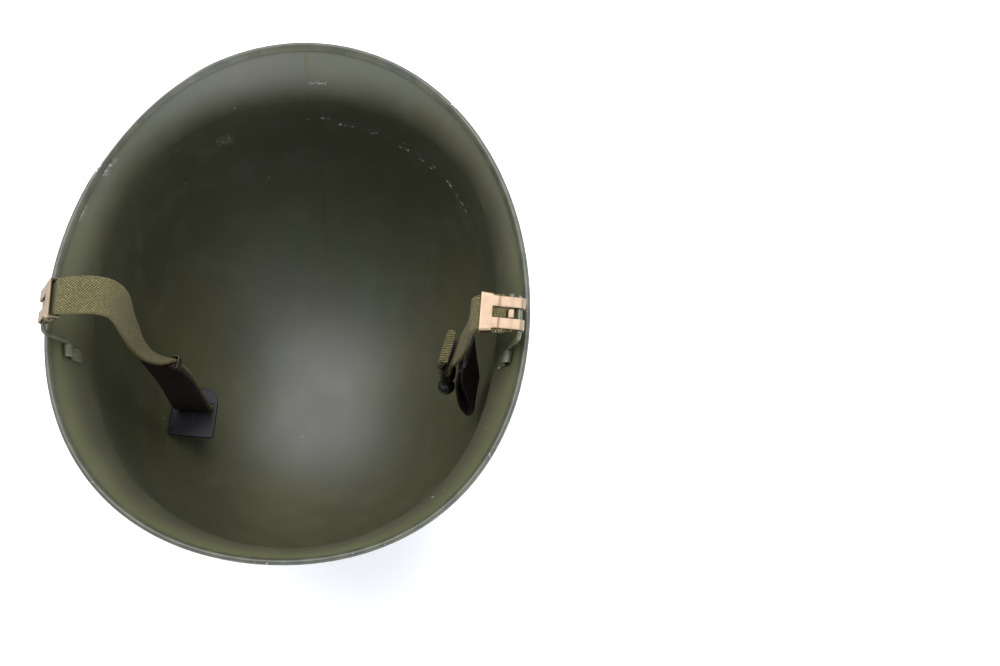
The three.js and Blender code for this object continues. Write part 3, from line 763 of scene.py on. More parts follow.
@dataclass(frozen=True)
class ShellEnamel(Finish):
    """Olive stoving enamel sprayed on pressed steel: a satin coat with a very fine sandy grain, worn
    through to bright steel in small chips where the liner rubs, with fine handling scratches.
    It reads the shell's share (1 at the neck, 2 at the rim) and angle."""

    name: str = "olive_enamel_shell"
    coat: str = "#3b3a21"
    deep: str = "#31301b"
    green: str = "#353a1e"
    # painted shade for the bend above the neck
    painted_bend_shade: str = "#21210d"
    # colours of the haze at the sides and at the front: chalking, and painted grey sheen on the flare
    weathered_and_sheen_olive: str = "#5d5f33"
    chalk_and_sheen_grey: str = "#646557"
    steel: str = "#a9aa9b"
    roughness: float = 0.53
    coat_weight: float = 0.3
    coat_roughness: float = 0.42
    knock_height: float = 109.5  # the line of chips falls to the right from here
    knock_fall: float = 0.13
    chip_size: float = 3.6
    fleck_size: float = 10.0
    # on the flare and behind the front
    scrapes: tuple[Scrape, ...] = (
        Scrape((-49.5, 111.0, 107.0), 4.5, 1.6, 0.25, (0.9, 0.4, 0.0)),
        Scrape((3.5, 130.0, 143.5), 5.0, 0.9, 0.5),
        Scrape((-99.2, 74.5, 161.2), 6.0, 2.6, 1.0, (-0.42, -0.91, 0.0)),
        Scrape((-110.1, 47.2, 166.2), 5.5, 2.4, 1.0, (-0.28, -0.96, 0.0)),
        Scrape((-73.7, -105.5, 168.2), 0.8, 0.8, 0.9),
        Scrape((-106.0, -56.5, 168.5), 1.6, 0.6, 0.8, (0.6, -0.8, 0.0)),
        Scrape((74.6, -93.7, 155.3), 0.8, 0.8, 0.8))

    def tint(self) -> list[Step]:
        """The coat's colours: brown-green in the bowl, painted shade in the bend above the neck, and towards
        the rim a haze that is partly chalking and partly painted grey sheen.

        Returns:
            The rows, which end in colour.
        """
        return [
            ("share", "ATTRIBUTE", "share"), ("angle", "ATTRIBUTE", "angle"), ("turn", "COSINE", "angle"),
            ("clouds", "NOISE", "where", per_mm(62), 3.0), ("patches", "NOISE", "where", per_mm(17), 3.0),
            ("mottle", "NOISE", "where", per_mm(2.6), 2.0),
            ("sand", "NOISE", "where", per_mm(0.9), 3.0, 0.7),
            ("cloudy", "EASE", "clouds", 0.36, 0.64), ("colour", "MIX", "cloudy", self.coat, self.deep),
            ("front", "EASE", "turn", 0.15, 0.85), ("some", "EASE", "clouds", 0.45, 0.62),
            ("greener", "MULTIPLY", "front", "some"), ("half", "MULTIPLY", "greener", 0.5),
            ("colour", "MIX", "half", "colour", self.green),
            # Painted shade: the coat is darkened in the bend above the neck. At the rim a haze, partly
            # chalking and partly painted grey sheen, lightens the flare
            ("above", "EASE", "share", 0.45, 0.95), ("below", "EASE", "share", 1.7, 1.15),
            ("bend", "MULTIPLY", "above", "below"), ("bend_shade_amount", "MULTIPLY", "bend", 0.62),
            ("colour", "MIX", "bend_shade_amount", "colour", self.painted_bend_shade),
            # the haze: random patches and mottle of chalking, plus painted sheen that lightens the flare
            # towards the rim, greyer at the front
            ("patchy", "EASE", "patches", 0.45, 0.8), ("rim", "EASE", "share", 1.4, 1.85),
            ("chalk_and_sheen", "MULTIPLY", "patchy", 0.1), ("chalk_and_sheen", "MULTIPLY_ADD", "mottle", 0.08, "chalk_and_sheen"),
            ("chalk_and_sheen", "MULTIPLY_ADD", "rim", 0.22, "chalk_and_sheen"), ("ahead", "EASE", "turn", -0.1, 0.6),
            ("chalk_and_sheen_tint", "MIX", "ahead", self.weathered_and_sheen_olive, self.chalk_and_sheen_grey),
            ("colour", "MIX", "chalk_and_sheen", "colour", "chalk_and_sheen_tint")]

    def chips(self) -> list[Step]:
        """Chips of 1 to 3 mm in a line inside the front, where the liner's rim knocks the coat off,
        and a few flecks anywhere.

        Returns:
            The rows, which end in bare.
        """
        return [
            ("x", "X", "where"), ("z", "Z", "where"), ("line", "MULTIPLY_ADD", "x", self.knock_fall, "z"),
            ("off", "SUBTRACT", "line", self.knock_height * MM), ("far", "ABSOLUTE", "off"),
            ("level", "EASE", "far", 0.0048, 0.0016), ("inner", "EASE", "turn", 0.55, 0.7),
            ("right", "EASE", "x", -0.012, 0.004),
            ("cell", "CELL_DISTANCE", "where", per_mm(self.chip_size)),
            ("tint", "CELL_COLOUR", "where", per_mm(self.chip_size)), ("draw", "GREEN", "tint"),
            ("speck", "CELL_DISTANCE", "where", per_mm(self.fleck_size)),
            ("speck_tint", "CELL_COLOUR", "where", per_mm(self.fleck_size)), ("lot", "RED", "speck_tint"),
            ("rough_edge", "NOISE", "where", per_mm(2.0), 4.0, 0.65),
            ("torn", "EASE", "rough_edge", 0.46, 0.6),
            ("chip", "EASE", "cell", 0.42, 0.3), ("kept", "EASE", "draw", 0.3, 0.36),
            ("fleck", "EASE", "speck", 0.055, 0.03), ("rare", "EASE", "lot", 0.8, 0.84),
            ("zone", "MULTIPLY", "level", "inner"), ("zone", "MULTIPLY", "zone", "right"),
            ("small", "MULTIPLY", "chip", "torn"), ("few", "MULTIPLY", "small", "kept"),
            ("knocks", "MULTIPLY", "few", "zone"), ("flecks", "MULTIPLY", "fleck", "rare"),
            ("faint", "MULTIPLY", "flecks", 0.5), ("bare", "MAXIMUM", "knocks", "faint")]

    def scratches(self) -> list[Step]:
        """Handling scratches, 0.3 mm wide and some centimetres long, in two directions.

        Returns:
            The rows, which end in colour.
        """
        rows: list[Step] = []
        for i, (turn, size) in enumerate(((0.5, 0.75), (-1.1, 1.0))):
            rows += [
                ("lie", "MAPPING", "where", (0.3, 0.2, turn), (1.0, 0.04, 0.14)),
                ("streaks", "NOISE", "lie", per_mm(size), 1.0),
                (f"scratch_{i}", "EASE", "streaks", 0.76, 0.82)]
        return rows + [
            ("scratch", "MAXIMUM", "scratch_0", "scratch_1"),
            ("where_handled", "EASE", "patches", 0.5, 0.66),
            ("scratch", "MULTIPLY", "scratch", "where_handled"), ("thin", "MULTIPLY", "scratch", 0.16),
            ("wear", "MAXIMUM", "thin", "bare"), ("colour", "MIX", "wear", "colour", self.steel)]

    def recipe(self) -> list[Step]:
        """The whole finish: tint, chips, scrapes on the flare and behind the front, scratches, relief.

        Returns:
            The rows, which end in normal.
        """
        scrapes = [step for scrape in self.scrapes for step in scrape.recipe()]
        return self.tint() + self.chips() + scrapes + self.scratches() + [
            ("rough", "MULTIPLY_ADD", "patches", 0.16, self.roughness - 0.08),
            ("rough", "MULTIPLY_ADD", "mottle", 0.08, "rough"),
            ("normal", "BUMP", "clouds", 0.5 * MM, 0.25),
            ("normal", "BUMP", "sand", 0.035 * MM, 0.5, "normal"),
            ("normal", "BUMP", "bare", -0.05 * MM, 0.8, "normal")]

    def gloss(self) -> dict[str, float]:
        """The thin glossier skin of the enamel."""
        return {"Coat Weight": self.coat_weight, "Coat Roughness": self.coat_roughness}


@dataclass(frozen=True)
class EdgeEnamel(Finish):
    """The same enamel on the folded band, the loops and their brackets: a thinner coat over corners,
    rubbed bright along them. It reads the piece's worn and b."""

    name: str = "olive_enamel_band"
    coat: str = "#42432f"
    deep: str = "#343525"
    rubbed: str = "#b4b4a8"
    # painted shade for the outer side of the section
    painted_shade: str = "#25261b"
    roughness: float = 0.4
    wear: float = 0.73  # lower shows more bare metal
    dragged: Place = (-0.78, 0.62, 0.0)  # the way to the part of the edge worn most

    def recipe(self) -> list[Step]:
        """Patches of the coat, bare metal where it is rubbed, and painted shade on the outer side of the
        section: the band's outer leg and one side of the wire.

        Returns:
            The rows, which end in normal.
        """
        return [
            ("patches", "NOISE", "where", per_mm(9), 3.0),
            ("fine", "NOISE", "where", per_mm(1.6), 4.0, 0.65),
            ("sand", "NOISE", "where", per_mm(0.8), 2.0), ("patchy", "EASE", "patches", 0.35, 0.65),
            ("colour", "MIX", "patchy", self.coat, self.deep), ("edge", "ATTRIBUTE", "worn"),
            ("reach", "DOT", "where", self.dragged), ("most", "EASE", "reach", 0.112, 0.132),
            ("level", "ADD", "fine", "patches"), ("level", "MULTIPLY_ADD", "most", 0.1, "level"),
            ("level", "MULTIPLY_ADD", "edge", 0.22, "level"),
            ("spots", "EASE", "level", self.wear * 2, self.wear * 2 + 0.07),
            ("bright", "MULTIPLY", "edge", "most"), ("bright", "EASE", "bright", 0.45, 0.85),
            ("bright", "MULTIPLY", "bright", 0.85), ("bare", "MAXIMUM", "spots", "bright"),
            ("colour", "MIX", "bare", "colour", self.rubbed),
            ("rough", "MULTIPLY_ADD", "patches", 0.2, self.roughness - 0.1),
            # painted shade: darker towards the outer side of the section (b)
            ("b", "ATTRIBUTE", "b"), ("outer", "EASE", "b", 0.6, 1.0),
            ("colour", "MIX", "outer", "colour", self.painted_shade),
            ("normal", "BUMP", "sand", 0.03 * MM, 0.5),
            ("normal", "BUMP", "bare", -0.04 * MM, 0.6, "normal")]


@dataclass(frozen=True)
class StampedBrass(Finish):
    """Sheet brass, stamped and folded: soft brushed shine with a tarnish that starts in the corners.
    It reads the clip's worn and its mask of painted shade; where a piece has none of them, both are nought."""

    bright: str
    tarnish: str
    rubbed: str
    # painted shade for the side walls and the inside of the mouth
    painted_shade: str
    roughness: float
    stain: float  # lower stains more of the face
    metallic: float = 0.6

    def recipe(self) -> list[Step]:
        """Stains and pits over the brushed sheet, rubbed edges, and painted shade on the side walls and
        inside the mouth.

        Returns:
            The rows, which end in normal.
        """
        return [
            # Brush lines of about 0.1 mm are drawn 0.4 mm apart so that they show
            ("lie", "MAPPING", "where", (0.0, 0.0, 0.0), (1.0, 0.12, 1.0)),
            ("lines", "NOISE", "lie", per_mm(0.4), 2.0), ("clouds", "NOISE", "where", per_mm(5.5), 4.0, 0.6),
            ("pits", "NOISE", "where", per_mm(0.9), 2.0),
            ("stained", "EASE", "clouds", self.stain, self.stain + 0.3),
            ("colour", "MIX", "stained", self.bright, self.tarnish), ("pitted", "EASE", "pits", 0.66, 0.8),
            ("colour", "MIX", "pitted", "colour", self.tarnish), ("worn", "ATTRIBUTE", "worn"),
            ("colour", "MIX", "worn", "colour", self.rubbed), ("grimy", "ATTRIBUTE", "grimy"),
            # painted shade on the side walls, inside the hem and along the mouth's slit
            ("colour", "MIX", "grimy", "colour", self.painted_shade),
            ("rough", "MULTIPLY_ADD", "lines", 0.12, self.roughness - 0.12),
            ("rough", "MULTIPLY_ADD", "clouds", 0.14, "rough"),
            ("normal", "BUMP", "lines", 0.02 * MM, 0.3),
            ("normal", "BUMP", "pits", 0.03 * MM, 0.2, "normal")]

    def gloss(self) -> dict[str, float]:
        """Metal under a film of tarnish and dirt."""
        return {"Metallic": self.metallic}


@dataclass(frozen=True)
class WovenCotton(Finish):
    """Cotton webbing in a plain weave, dyed khaki: matt, with pale worn threads and darker hollows
    between them. It reads the strap's along (metres) and a and b (-1 to 1 across and through)."""

    name: str = "khaki_webbing"
    thread: str = "#5c5535"
    faded: str = "#857d52"
    hollow: str = "#302b14"
    pick: float = 0.76  # cross threads, really 0.5 mm apart, drawn a little coarser to show
    warp: float = 0.7  # long threads, really 0.4 mm apart
    half_width: float = 9.5
    wander: float = 4.0  # how far the threads stray from their rows

    def weave(self) -> list[Step]:
        """Each thread passes over and under: two waves half a period apart, rounded like yarn.

        Returns:
            The rows, which end in height.
        """
        return [
            *((key, "ATTRIBUTE", key) for key in ("along", "a", "b")),
            ("shift", "NOISE", "where", per_mm(1.6), 2.0),
            ("u", "MULTIPLY", "along", math.pi / (self.pick * MM)),
            ("v", "MULTIPLY", "a", self.half_width * math.pi / self.warp),
            ("v", "MULTIPLY_ADD", "b", 4.7, "v"),
            ("stray", "MULTIPLY", "shift", self.wander), ("u", "ADD", "u", "stray"),
            ("v", "ADD", "v", "stray"),
            ("su", "SINE", "u"), ("sv", "SINE", "v"), ("over", "MULTIPLY", "su", "sv"),
            ("bulge", "ABSOLUTE", "over"), ("cord", "ABSOLUTE", "sv"), ("pickline", "ABSOLUTE", "su"),
            ("height", "MULTIPLY", "bulge", 0.72), ("height", "MULTIPLY_ADD", "cord", 0.18, "height"),
            ("height", "MULTIPLY_ADD", "pickline", 0.1, "height")]

    def recipe(self) -> list[Step]:
        """The weave, its hollows and the pale dots of the threads on top, soiled in patches.

        Returns:
            The rows, which end in normal.
        """
        return self.weave() + [
            ("fuzz", "NOISE", "where", per_mm(0.8), 3.0, 0.6), ("fade", "NOISE", "where", per_mm(7), 3.0),
            ("up", "EASE", "over", -0.5, 0.1), ("colour", "MIX", "up", self.hollow, self.thread),
            ("top", "EASE", "over", 0.1, 0.8), ("fuzzy", "EASE", "fuzz", 0.3, 0.6),
            ("faded", "EASE", "fade", 0.3, 0.75), ("light", "MULTIPLY", "top", "fuzzy"),
            ("share", "MULTIPLY_ADD", "faded", 0.4, 0.6), ("light", "MULTIPLY", "light", "share"),
            ("colour", "MIX", "light", "colour", self.faded),
            ("dirt", "NOISE", "where", per_mm(1.1), 3.0, 0.6),
            ("soiled", "EASE", "dirt", 0.56, 0.42), ("soiled", "MULTIPLY", "soiled", 0.4),
            ("colour", "MIX", "soiled", "colour", self.hollow),
            ("normal", "BUMP", "height", 0.2 * MM, 0.8), ("normal", "BUMP", "fuzz", 0.1 * MM, 0.6, "normal")]

    def gloss(self) -> dict[str, float]:
        """Matt fibre with a faint sheen."""
        return {"Roughness": 0.93, "Sheen Weight": 0.03, "Sheen Roughness": 0.5, "Specular IOR Level": 0.2}


@dataclass(frozen=True)
class StrapLeather(Finish):
    """Black-brown harness leather, dyed and waxed: fine pebbled grain with creases across the strap
    and paler raw edges. It reads the strap's a and along."""

    name: str = "dark_leather"
    skin: str = "#2d2422"
    crease: str = "#1d1715"
    raw: str = "#302722"
    roughness: float = 0.6
    specular: float = 0.14

    def recipe(self) -> list[Step]:
        """Folds across the strap, rubbed patches and raw edges over the pebbled skin.

        Returns:
            The rows, which end in normal.
        """
        return [
            ("along", "ATTRIBUTE", "along"), ("a", "ATTRIBUTE", "a"),
            ("pebbles", "CELL_DISTANCE", "where", per_mm(0.9)), ("worn", "NOISE", "where", per_mm(6), 3.0),
            ("fine", "NOISE", "where", per_mm(0.6), 2.0), ("far", "MULTIPLY", "along", per_mm(2.6)),
            ("wide", "MULTIPLY", "a", 0.7), ("edge", "ABSOLUTE", "a"), ("lie", "COMBINE", "far", "wide"),
            ("folds", "NOISE", "lie", 1.0, 2.0), ("creased", "EASE", "folds", 0.44, 0.24),
            ("colour", "MIX", "creased", self.skin, self.crease), ("rubbed", "EASE", "worn", 0.6, 0.8),
            ("colour", "MIX", "rubbed", "colour", self.raw), ("cut", "EASE", "edge", 0.965, 0.99),
            ("colour", "MIX", "cut", "colour", self.raw),
            ("rough", "MULTIPLY_ADD", "worn", 0.25, self.roughness - 0.12),
            ("normal", "BUMP", "folds", 0.2 * MM, 0.25),
            ("normal", "BUMP", "pebbles", 0.08 * MM, 0.5, "normal"),
            ("normal", "BUMP", "fine", 0.03 * MM, 0.4, "normal")]

    def gloss(self) -> dict[str, float]:
        """Dry wax."""
        return {"Specular IOR Level": self.specular}


@dataclass(frozen=True)
class BlackenedSteel(Finish):
    """Stamped steel, chemically blackened and oiled: dark and a little glossy, grey where handled."""

    name: str = "blackened_steel"
    black: str = "#121112"
    handled: str = "#272527"
    roughness: float = 0.4
    specular: float = 0.15
    metallic: float = 0.1

    def recipe(self) -> list[Step]:
        """Handled patches and long scratches in the black.

        Returns:
            The rows, which end in normal.
        """
        return [
            ("clouds", "NOISE", "where", per_mm(5), 4.0, 0.6), ("fine", "NOISE", "where", per_mm(0.8), 2.0),
            ("lie", "MAPPING", "where", (0.0, 0.0, 0.6), (1.0, 0.04, 1.0)),
            ("streaks", "NOISE", "lie", per_mm(0.7), 1.0), ("scored", "EASE", "streaks", 0.66, 0.72),
            ("rubbed", "EASE", "clouds", 0.56, 0.8), ("scratch", "MULTIPLY", "scored", 1.6),
            ("bare", "MAXIMUM", "rubbed", "scratch"), ("colour", "MIX", "bare", self.black, self.handled),
            ("rough", "MULTIPLY_ADD", "clouds", 0.24, self.roughness - 0.12),
            ("normal", "BUMP", "fine", 0.03 * MM, 0.4),
            ("normal", "BUMP", "scored", -0.03 * MM, 0.5, "normal")]

    def gloss(self) -> dict[str, float]:
        """A thin film of oil on the black."""
        return {"Metallic": self.metallic, "Specular IOR Level": self.specular}


@dataclass(frozen=True)
class LinenThread(Finish):
    """Waxed linen thread, twisted: matt with a slight rope pattern."""

    strand: str
    gap: str

    def recipe(self) -> list[Step]:
        """The twist of the strands.

        Returns:
            The rows, which end in normal.
        """
        return [
            ("twist", "NOISE", "where", per_mm(0.35), 2.0), ("raised", "EASE", "twist", 0.35, 0.65),
            ("colour", "MIX", "raised", self.gap, self.strand), ("normal", "BUMP", "twist", 0.06 * MM, 0.6)]

    def gloss(self) -> dict[str, float]:
        """Matt wax."""
        return {"Roughness": 0.85}


@dataclass(frozen=True)
class FloorPaper(Finish):
    """Matt white background paper with a faint glow: painted light that lightens the shadows cast on it."""

    name: str = "floor_paper"
    sheet: str = "#fbfbf8"
    fibre: str = "#f6f6f2"
    # painted light: the paper's glow
    glow: float = 0.16

    def recipe(self) -> list[Step]:
        """Faint fibres.

        Returns:
            The rows, which end in normal.
        """
        return [
            ("fleck", "NOISE", "where", per_mm(4), 2.0), ("colour", "MIX", "fleck", self.sheet, self.fibre),
            ("normal", "BUMP", "fleck", 0.02 * MM, 0.1)]

    def gloss(self) -> dict[str, float]:
        """Matt, with its glow."""
        return {"Roughness": 0.9, "Emission Strength": self.glow}


# Sub-assemblies


@dataclass
class SteelShell:
    """The pressed shell: a bowl with a flared peak and skirt, one wall thick throughout."""

    sides: int = 240
    bowl_rings: int = 44
    flare_rings: int = 30
    sharp: float = 60.0

    def tree(self) -> bpy.types.NodeTree:
        """Build the tree that turns a ring of directions and a line of shares into the pressed form.

        Returns:
            The tree.
        """
        return growth_tree("pressed shell", [
            ("Shares", "Object", None), ("Wall", "Float", 0.0011), ("Bowl Power", "Float", 2.25),
            ("Crown Flat", "Float", 0.013), ("Crown Shift", "Float", 0.005)], [
            ("ring", "CURVE", "Geometry"), ("shares", "OBJECT", "Shares"), ("line", "CURVE", "shares"),
            ("body", "SWEEP", "ring", "line"),
            *((key, "STORED", key) for key in ("share", "angle", "fillet")),
            *((key, "STORED", key) for key in ("neck_r", "neck_z", "rim_r", "rim_z")),
            # the bowl: a superellipse from the pole to the neck, cut flat at the crown
            ("root", "DIVIDE", 1.0, "Bowl Power"), ("curve", "MULTIPLY", "root", 2.0),
            ("skin", "MULTIPLY", "Wall", 0.5), ("bowl", "MINIMUM", "share", 1.0),
            ("swing", "MULTIPLY", "bowl", math.pi / 2), ("s", "SINE", "swing"), ("c", "COSINE", "swing"),
            ("c", "MAXIMUM", "c", 0.0), ("reach", "POWER", "s", "curve"), ("fall", "POWER", "c", "curve"),
            ("climb", "SUBTRACT", 1.0, "fall"), ("bowl_r", "MULTIPLY", "neck_r", "reach"),
            ("flat", "DIVIDE", "Crown Flat", "neck_r"), ("flat", "POWER", "flat", "Bowl Power"),
            ("flat", "SUBTRACT", 1.0, "flat"), ("flat", "POWER", "flat", "root"),
            ("flat", "SUBTRACT", 1.0, "flat"),
            ("low", "MULTIPLY", "neck_z", "flat"), ("up", "MULTIPLY", "neck_z", "climb"),
            ("over", "SUBTRACT", "up", "low"), ("kept", "MAXIMUM", "over", 0.0),
            ("room", "SUBTRACT", "neck_z", "skin"), ("span", "SUBTRACT", "neck_z", "low"),
            ("ratio", "DIVIDE", "room", "span"), ("bowl_z", "MULTIPLY_ADD", "kept", "ratio", "skin"),
            # the flare: it leaves the neck upright and bends outwards with its fillet
            ("past", "SUBTRACT", "share", 1.0), ("flare", "MAXIMUM", "past", 0.0),
            ("tall", "SUBTRACT", "rim_z", "neck_z"), ("h", "MULTIPLY", "tall", "flare"),
            ("square", "MULTIPLY", "fillet", "fillet"), ("rise", "MULTIPLY_ADD", "h", "h", "square"),
            ("rise", "SQRT", "rise"), ("rise", "SUBTRACT", "rise", "fillet"),
            ("full", "MULTIPLY_ADD", "tall", "tall", "square"), ("full", "SQRT", "full"),
            ("full", "SUBTRACT", "full", "fillet"), ("part", "DIVIDE", "rise", "full"),
            ("out", "SUBTRACT", "rim_r", "neck_r"), ("r", "MULTIPLY_ADD", "out", "part", "bowl_r"),
            ("z", "ADD", "bowl_z", "h"),
            # the bowl's middle moves back towards the crown
            ("back", "DIVIDE", "bowl_z", "neck_z"), ("back", "SUBTRACT", 1.0, "back"),
            ("back", "MULTIPLY", "back", "back"), ("back", "SUBTRACT", 1.0, "back"),
            ("sin", "SINE", "angle"),
            ("cos", "COSINE", "angle"), ("x", "MULTIPLY", "r", "sin"), ("y", "MULTIPLY", "r", "cos"),
            ("y", "MULTIPLY_ADD", "Crown Shift", "back", "y"),
            ("place", "COMBINE", "x", "y", "z"), ("grown", "PLACE", "body", "place")])

    def build(self, finish: bpy.types.Material) -> None:
        """Build the shell and dress it.

        Args:
            finish: the enamel.
        """
        angle = np.linspace(0, 2 * math.pi, self.sides, endpoint=False)
        outline = {key: column * MM for key, column in FORM.outline(angle).items()}
        circle = np.column_stack([np.sin(angle), np.cos(angle), np.zeros(self.sides)]) * 0.1
        ring = line_object("directions", circle, True, {"angle": angle, **outline})
        share = np.concatenate([
            np.linspace(0, 1, self.bowl_rings + 1), 1 + np.linspace(0, 1, self.flare_rings + 1)[1:]])
        places = np.column_stack([share, share * 0, share * 0]) * 0.01
        shares = line_object("shares", places, False, {"share": share})
        made = grown("shell_dressed", self.tree(), ring, {
            "Shares": shares, "Wall": FORM.wall * MM, "Bowl Power": FORM.bowl_power,
            "Crown Flat": FORM.crown_flat * MM, "Crown Shift": RIM_CENTRE_Y * MM, "Material": finish})
        bpy.data.objects.remove(shares)
        made = baked(modified(tidy(made, self.sharp), "SOLIDIFY", thickness=FORM.wall * MM, offset=0.0,
                              use_even_offset=True))
        made.data.set_sharp_from_angle(angle=math.radians(self.sharp))
        hand_over(made, "shell", "olive_paint", finish)


@dataclass
class RimBand:
    """A strip folded over the shell's edge, butted at the back."""

    gap: float = 0.3
    sheet: float = 0.5
    leg: float = 3.4
    shoulder: float = -0.25  # the crest's round starts so much below the edge of the steel
    lip: float = 0.12
    sides: int = 300

    def section(self) -> np.ndarray:
        """Draw the folded U, up the wall and out of it: a round crest, two legs with rolled ends.

        Returns:
            The section's a and b.
        """
        inner = FORM.wall / 2 + self.gap
        outer = inner + self.sheet
        low, lip = self.shoulder, self.lip
        turn = np.radians(np.linspace(90, -90, 11))
        outside = np.column_stack([low + (self.gap + self.sheet - low) * np.cos(turn), outer * np.sin(turn)])
        inside = np.column_stack([low + (self.gap - low) * np.cos(turn), inner * np.sin(turn)])[::-1]
        near = [(-self.leg, -outer + lip), (-self.leg + 0.02, -inner - lip * 0.3)]
        far = [(-self.leg + 0.02, inner + lip * 0.3), (-self.leg, outer - lip)]
        head, foot = [(-self.leg + lip, outer)], [(-self.leg + lip, -outer)]
        return np.vstack([head, outside, foot, near, inside, far])

    def build(self, finish: bpy.types.Material) -> None:
        """Build the band and dress it.

        Args:
            finish: the enamel.
        """
        angle = np.linspace(0, 2 * math.pi, self.sides, endpoint=False)
        o = FORM.outline(angle)
        step = 1.0
        rise, run = np.full(self.sides, step), o["rim_r"] - FORM.flare_radius(angle, o["rim_z"] - step)
        length = np.hypot(rise, run)
        sin, cos = np.sin(angle), np.cos(angle)
        along_wall = np.column_stack([run / length * sin, run / length * cos, rise / length])
        outward = np.column_stack([rise / length * sin, rise / length * cos, -run / length])
        centre = np.column_stack([o["rim_r"] * sin, o["rim_r"] * cos, o["rim_z"]])
        made = swept("rim_band_dressed", Line(centre, along_wall, outward), self.section(), closed=True)
        edge_wear(made, lambda a, b: (a + 0.2) * 1.2)
        hand_over(made, "rim_band", "olive_paint_band", finish)


def edge_wear(made: bpy.types.Object, rule: Callable[[np.ndarray, np.ndarray], np.ndarray],
              most: float = 1.0) -> None:
    """Store how worn each point is, from its place in the section, for the enamel to read.

    Args:
        made: a swept piece.
        rule: the wear by a and b in millimetres; it is held between 0 and 1.
        most: what a wear of 1 counts for.
    """
    store(made, "worn", np.clip(rule(stored(made, "a"), stored(made, "b")), 0, 1) * most)


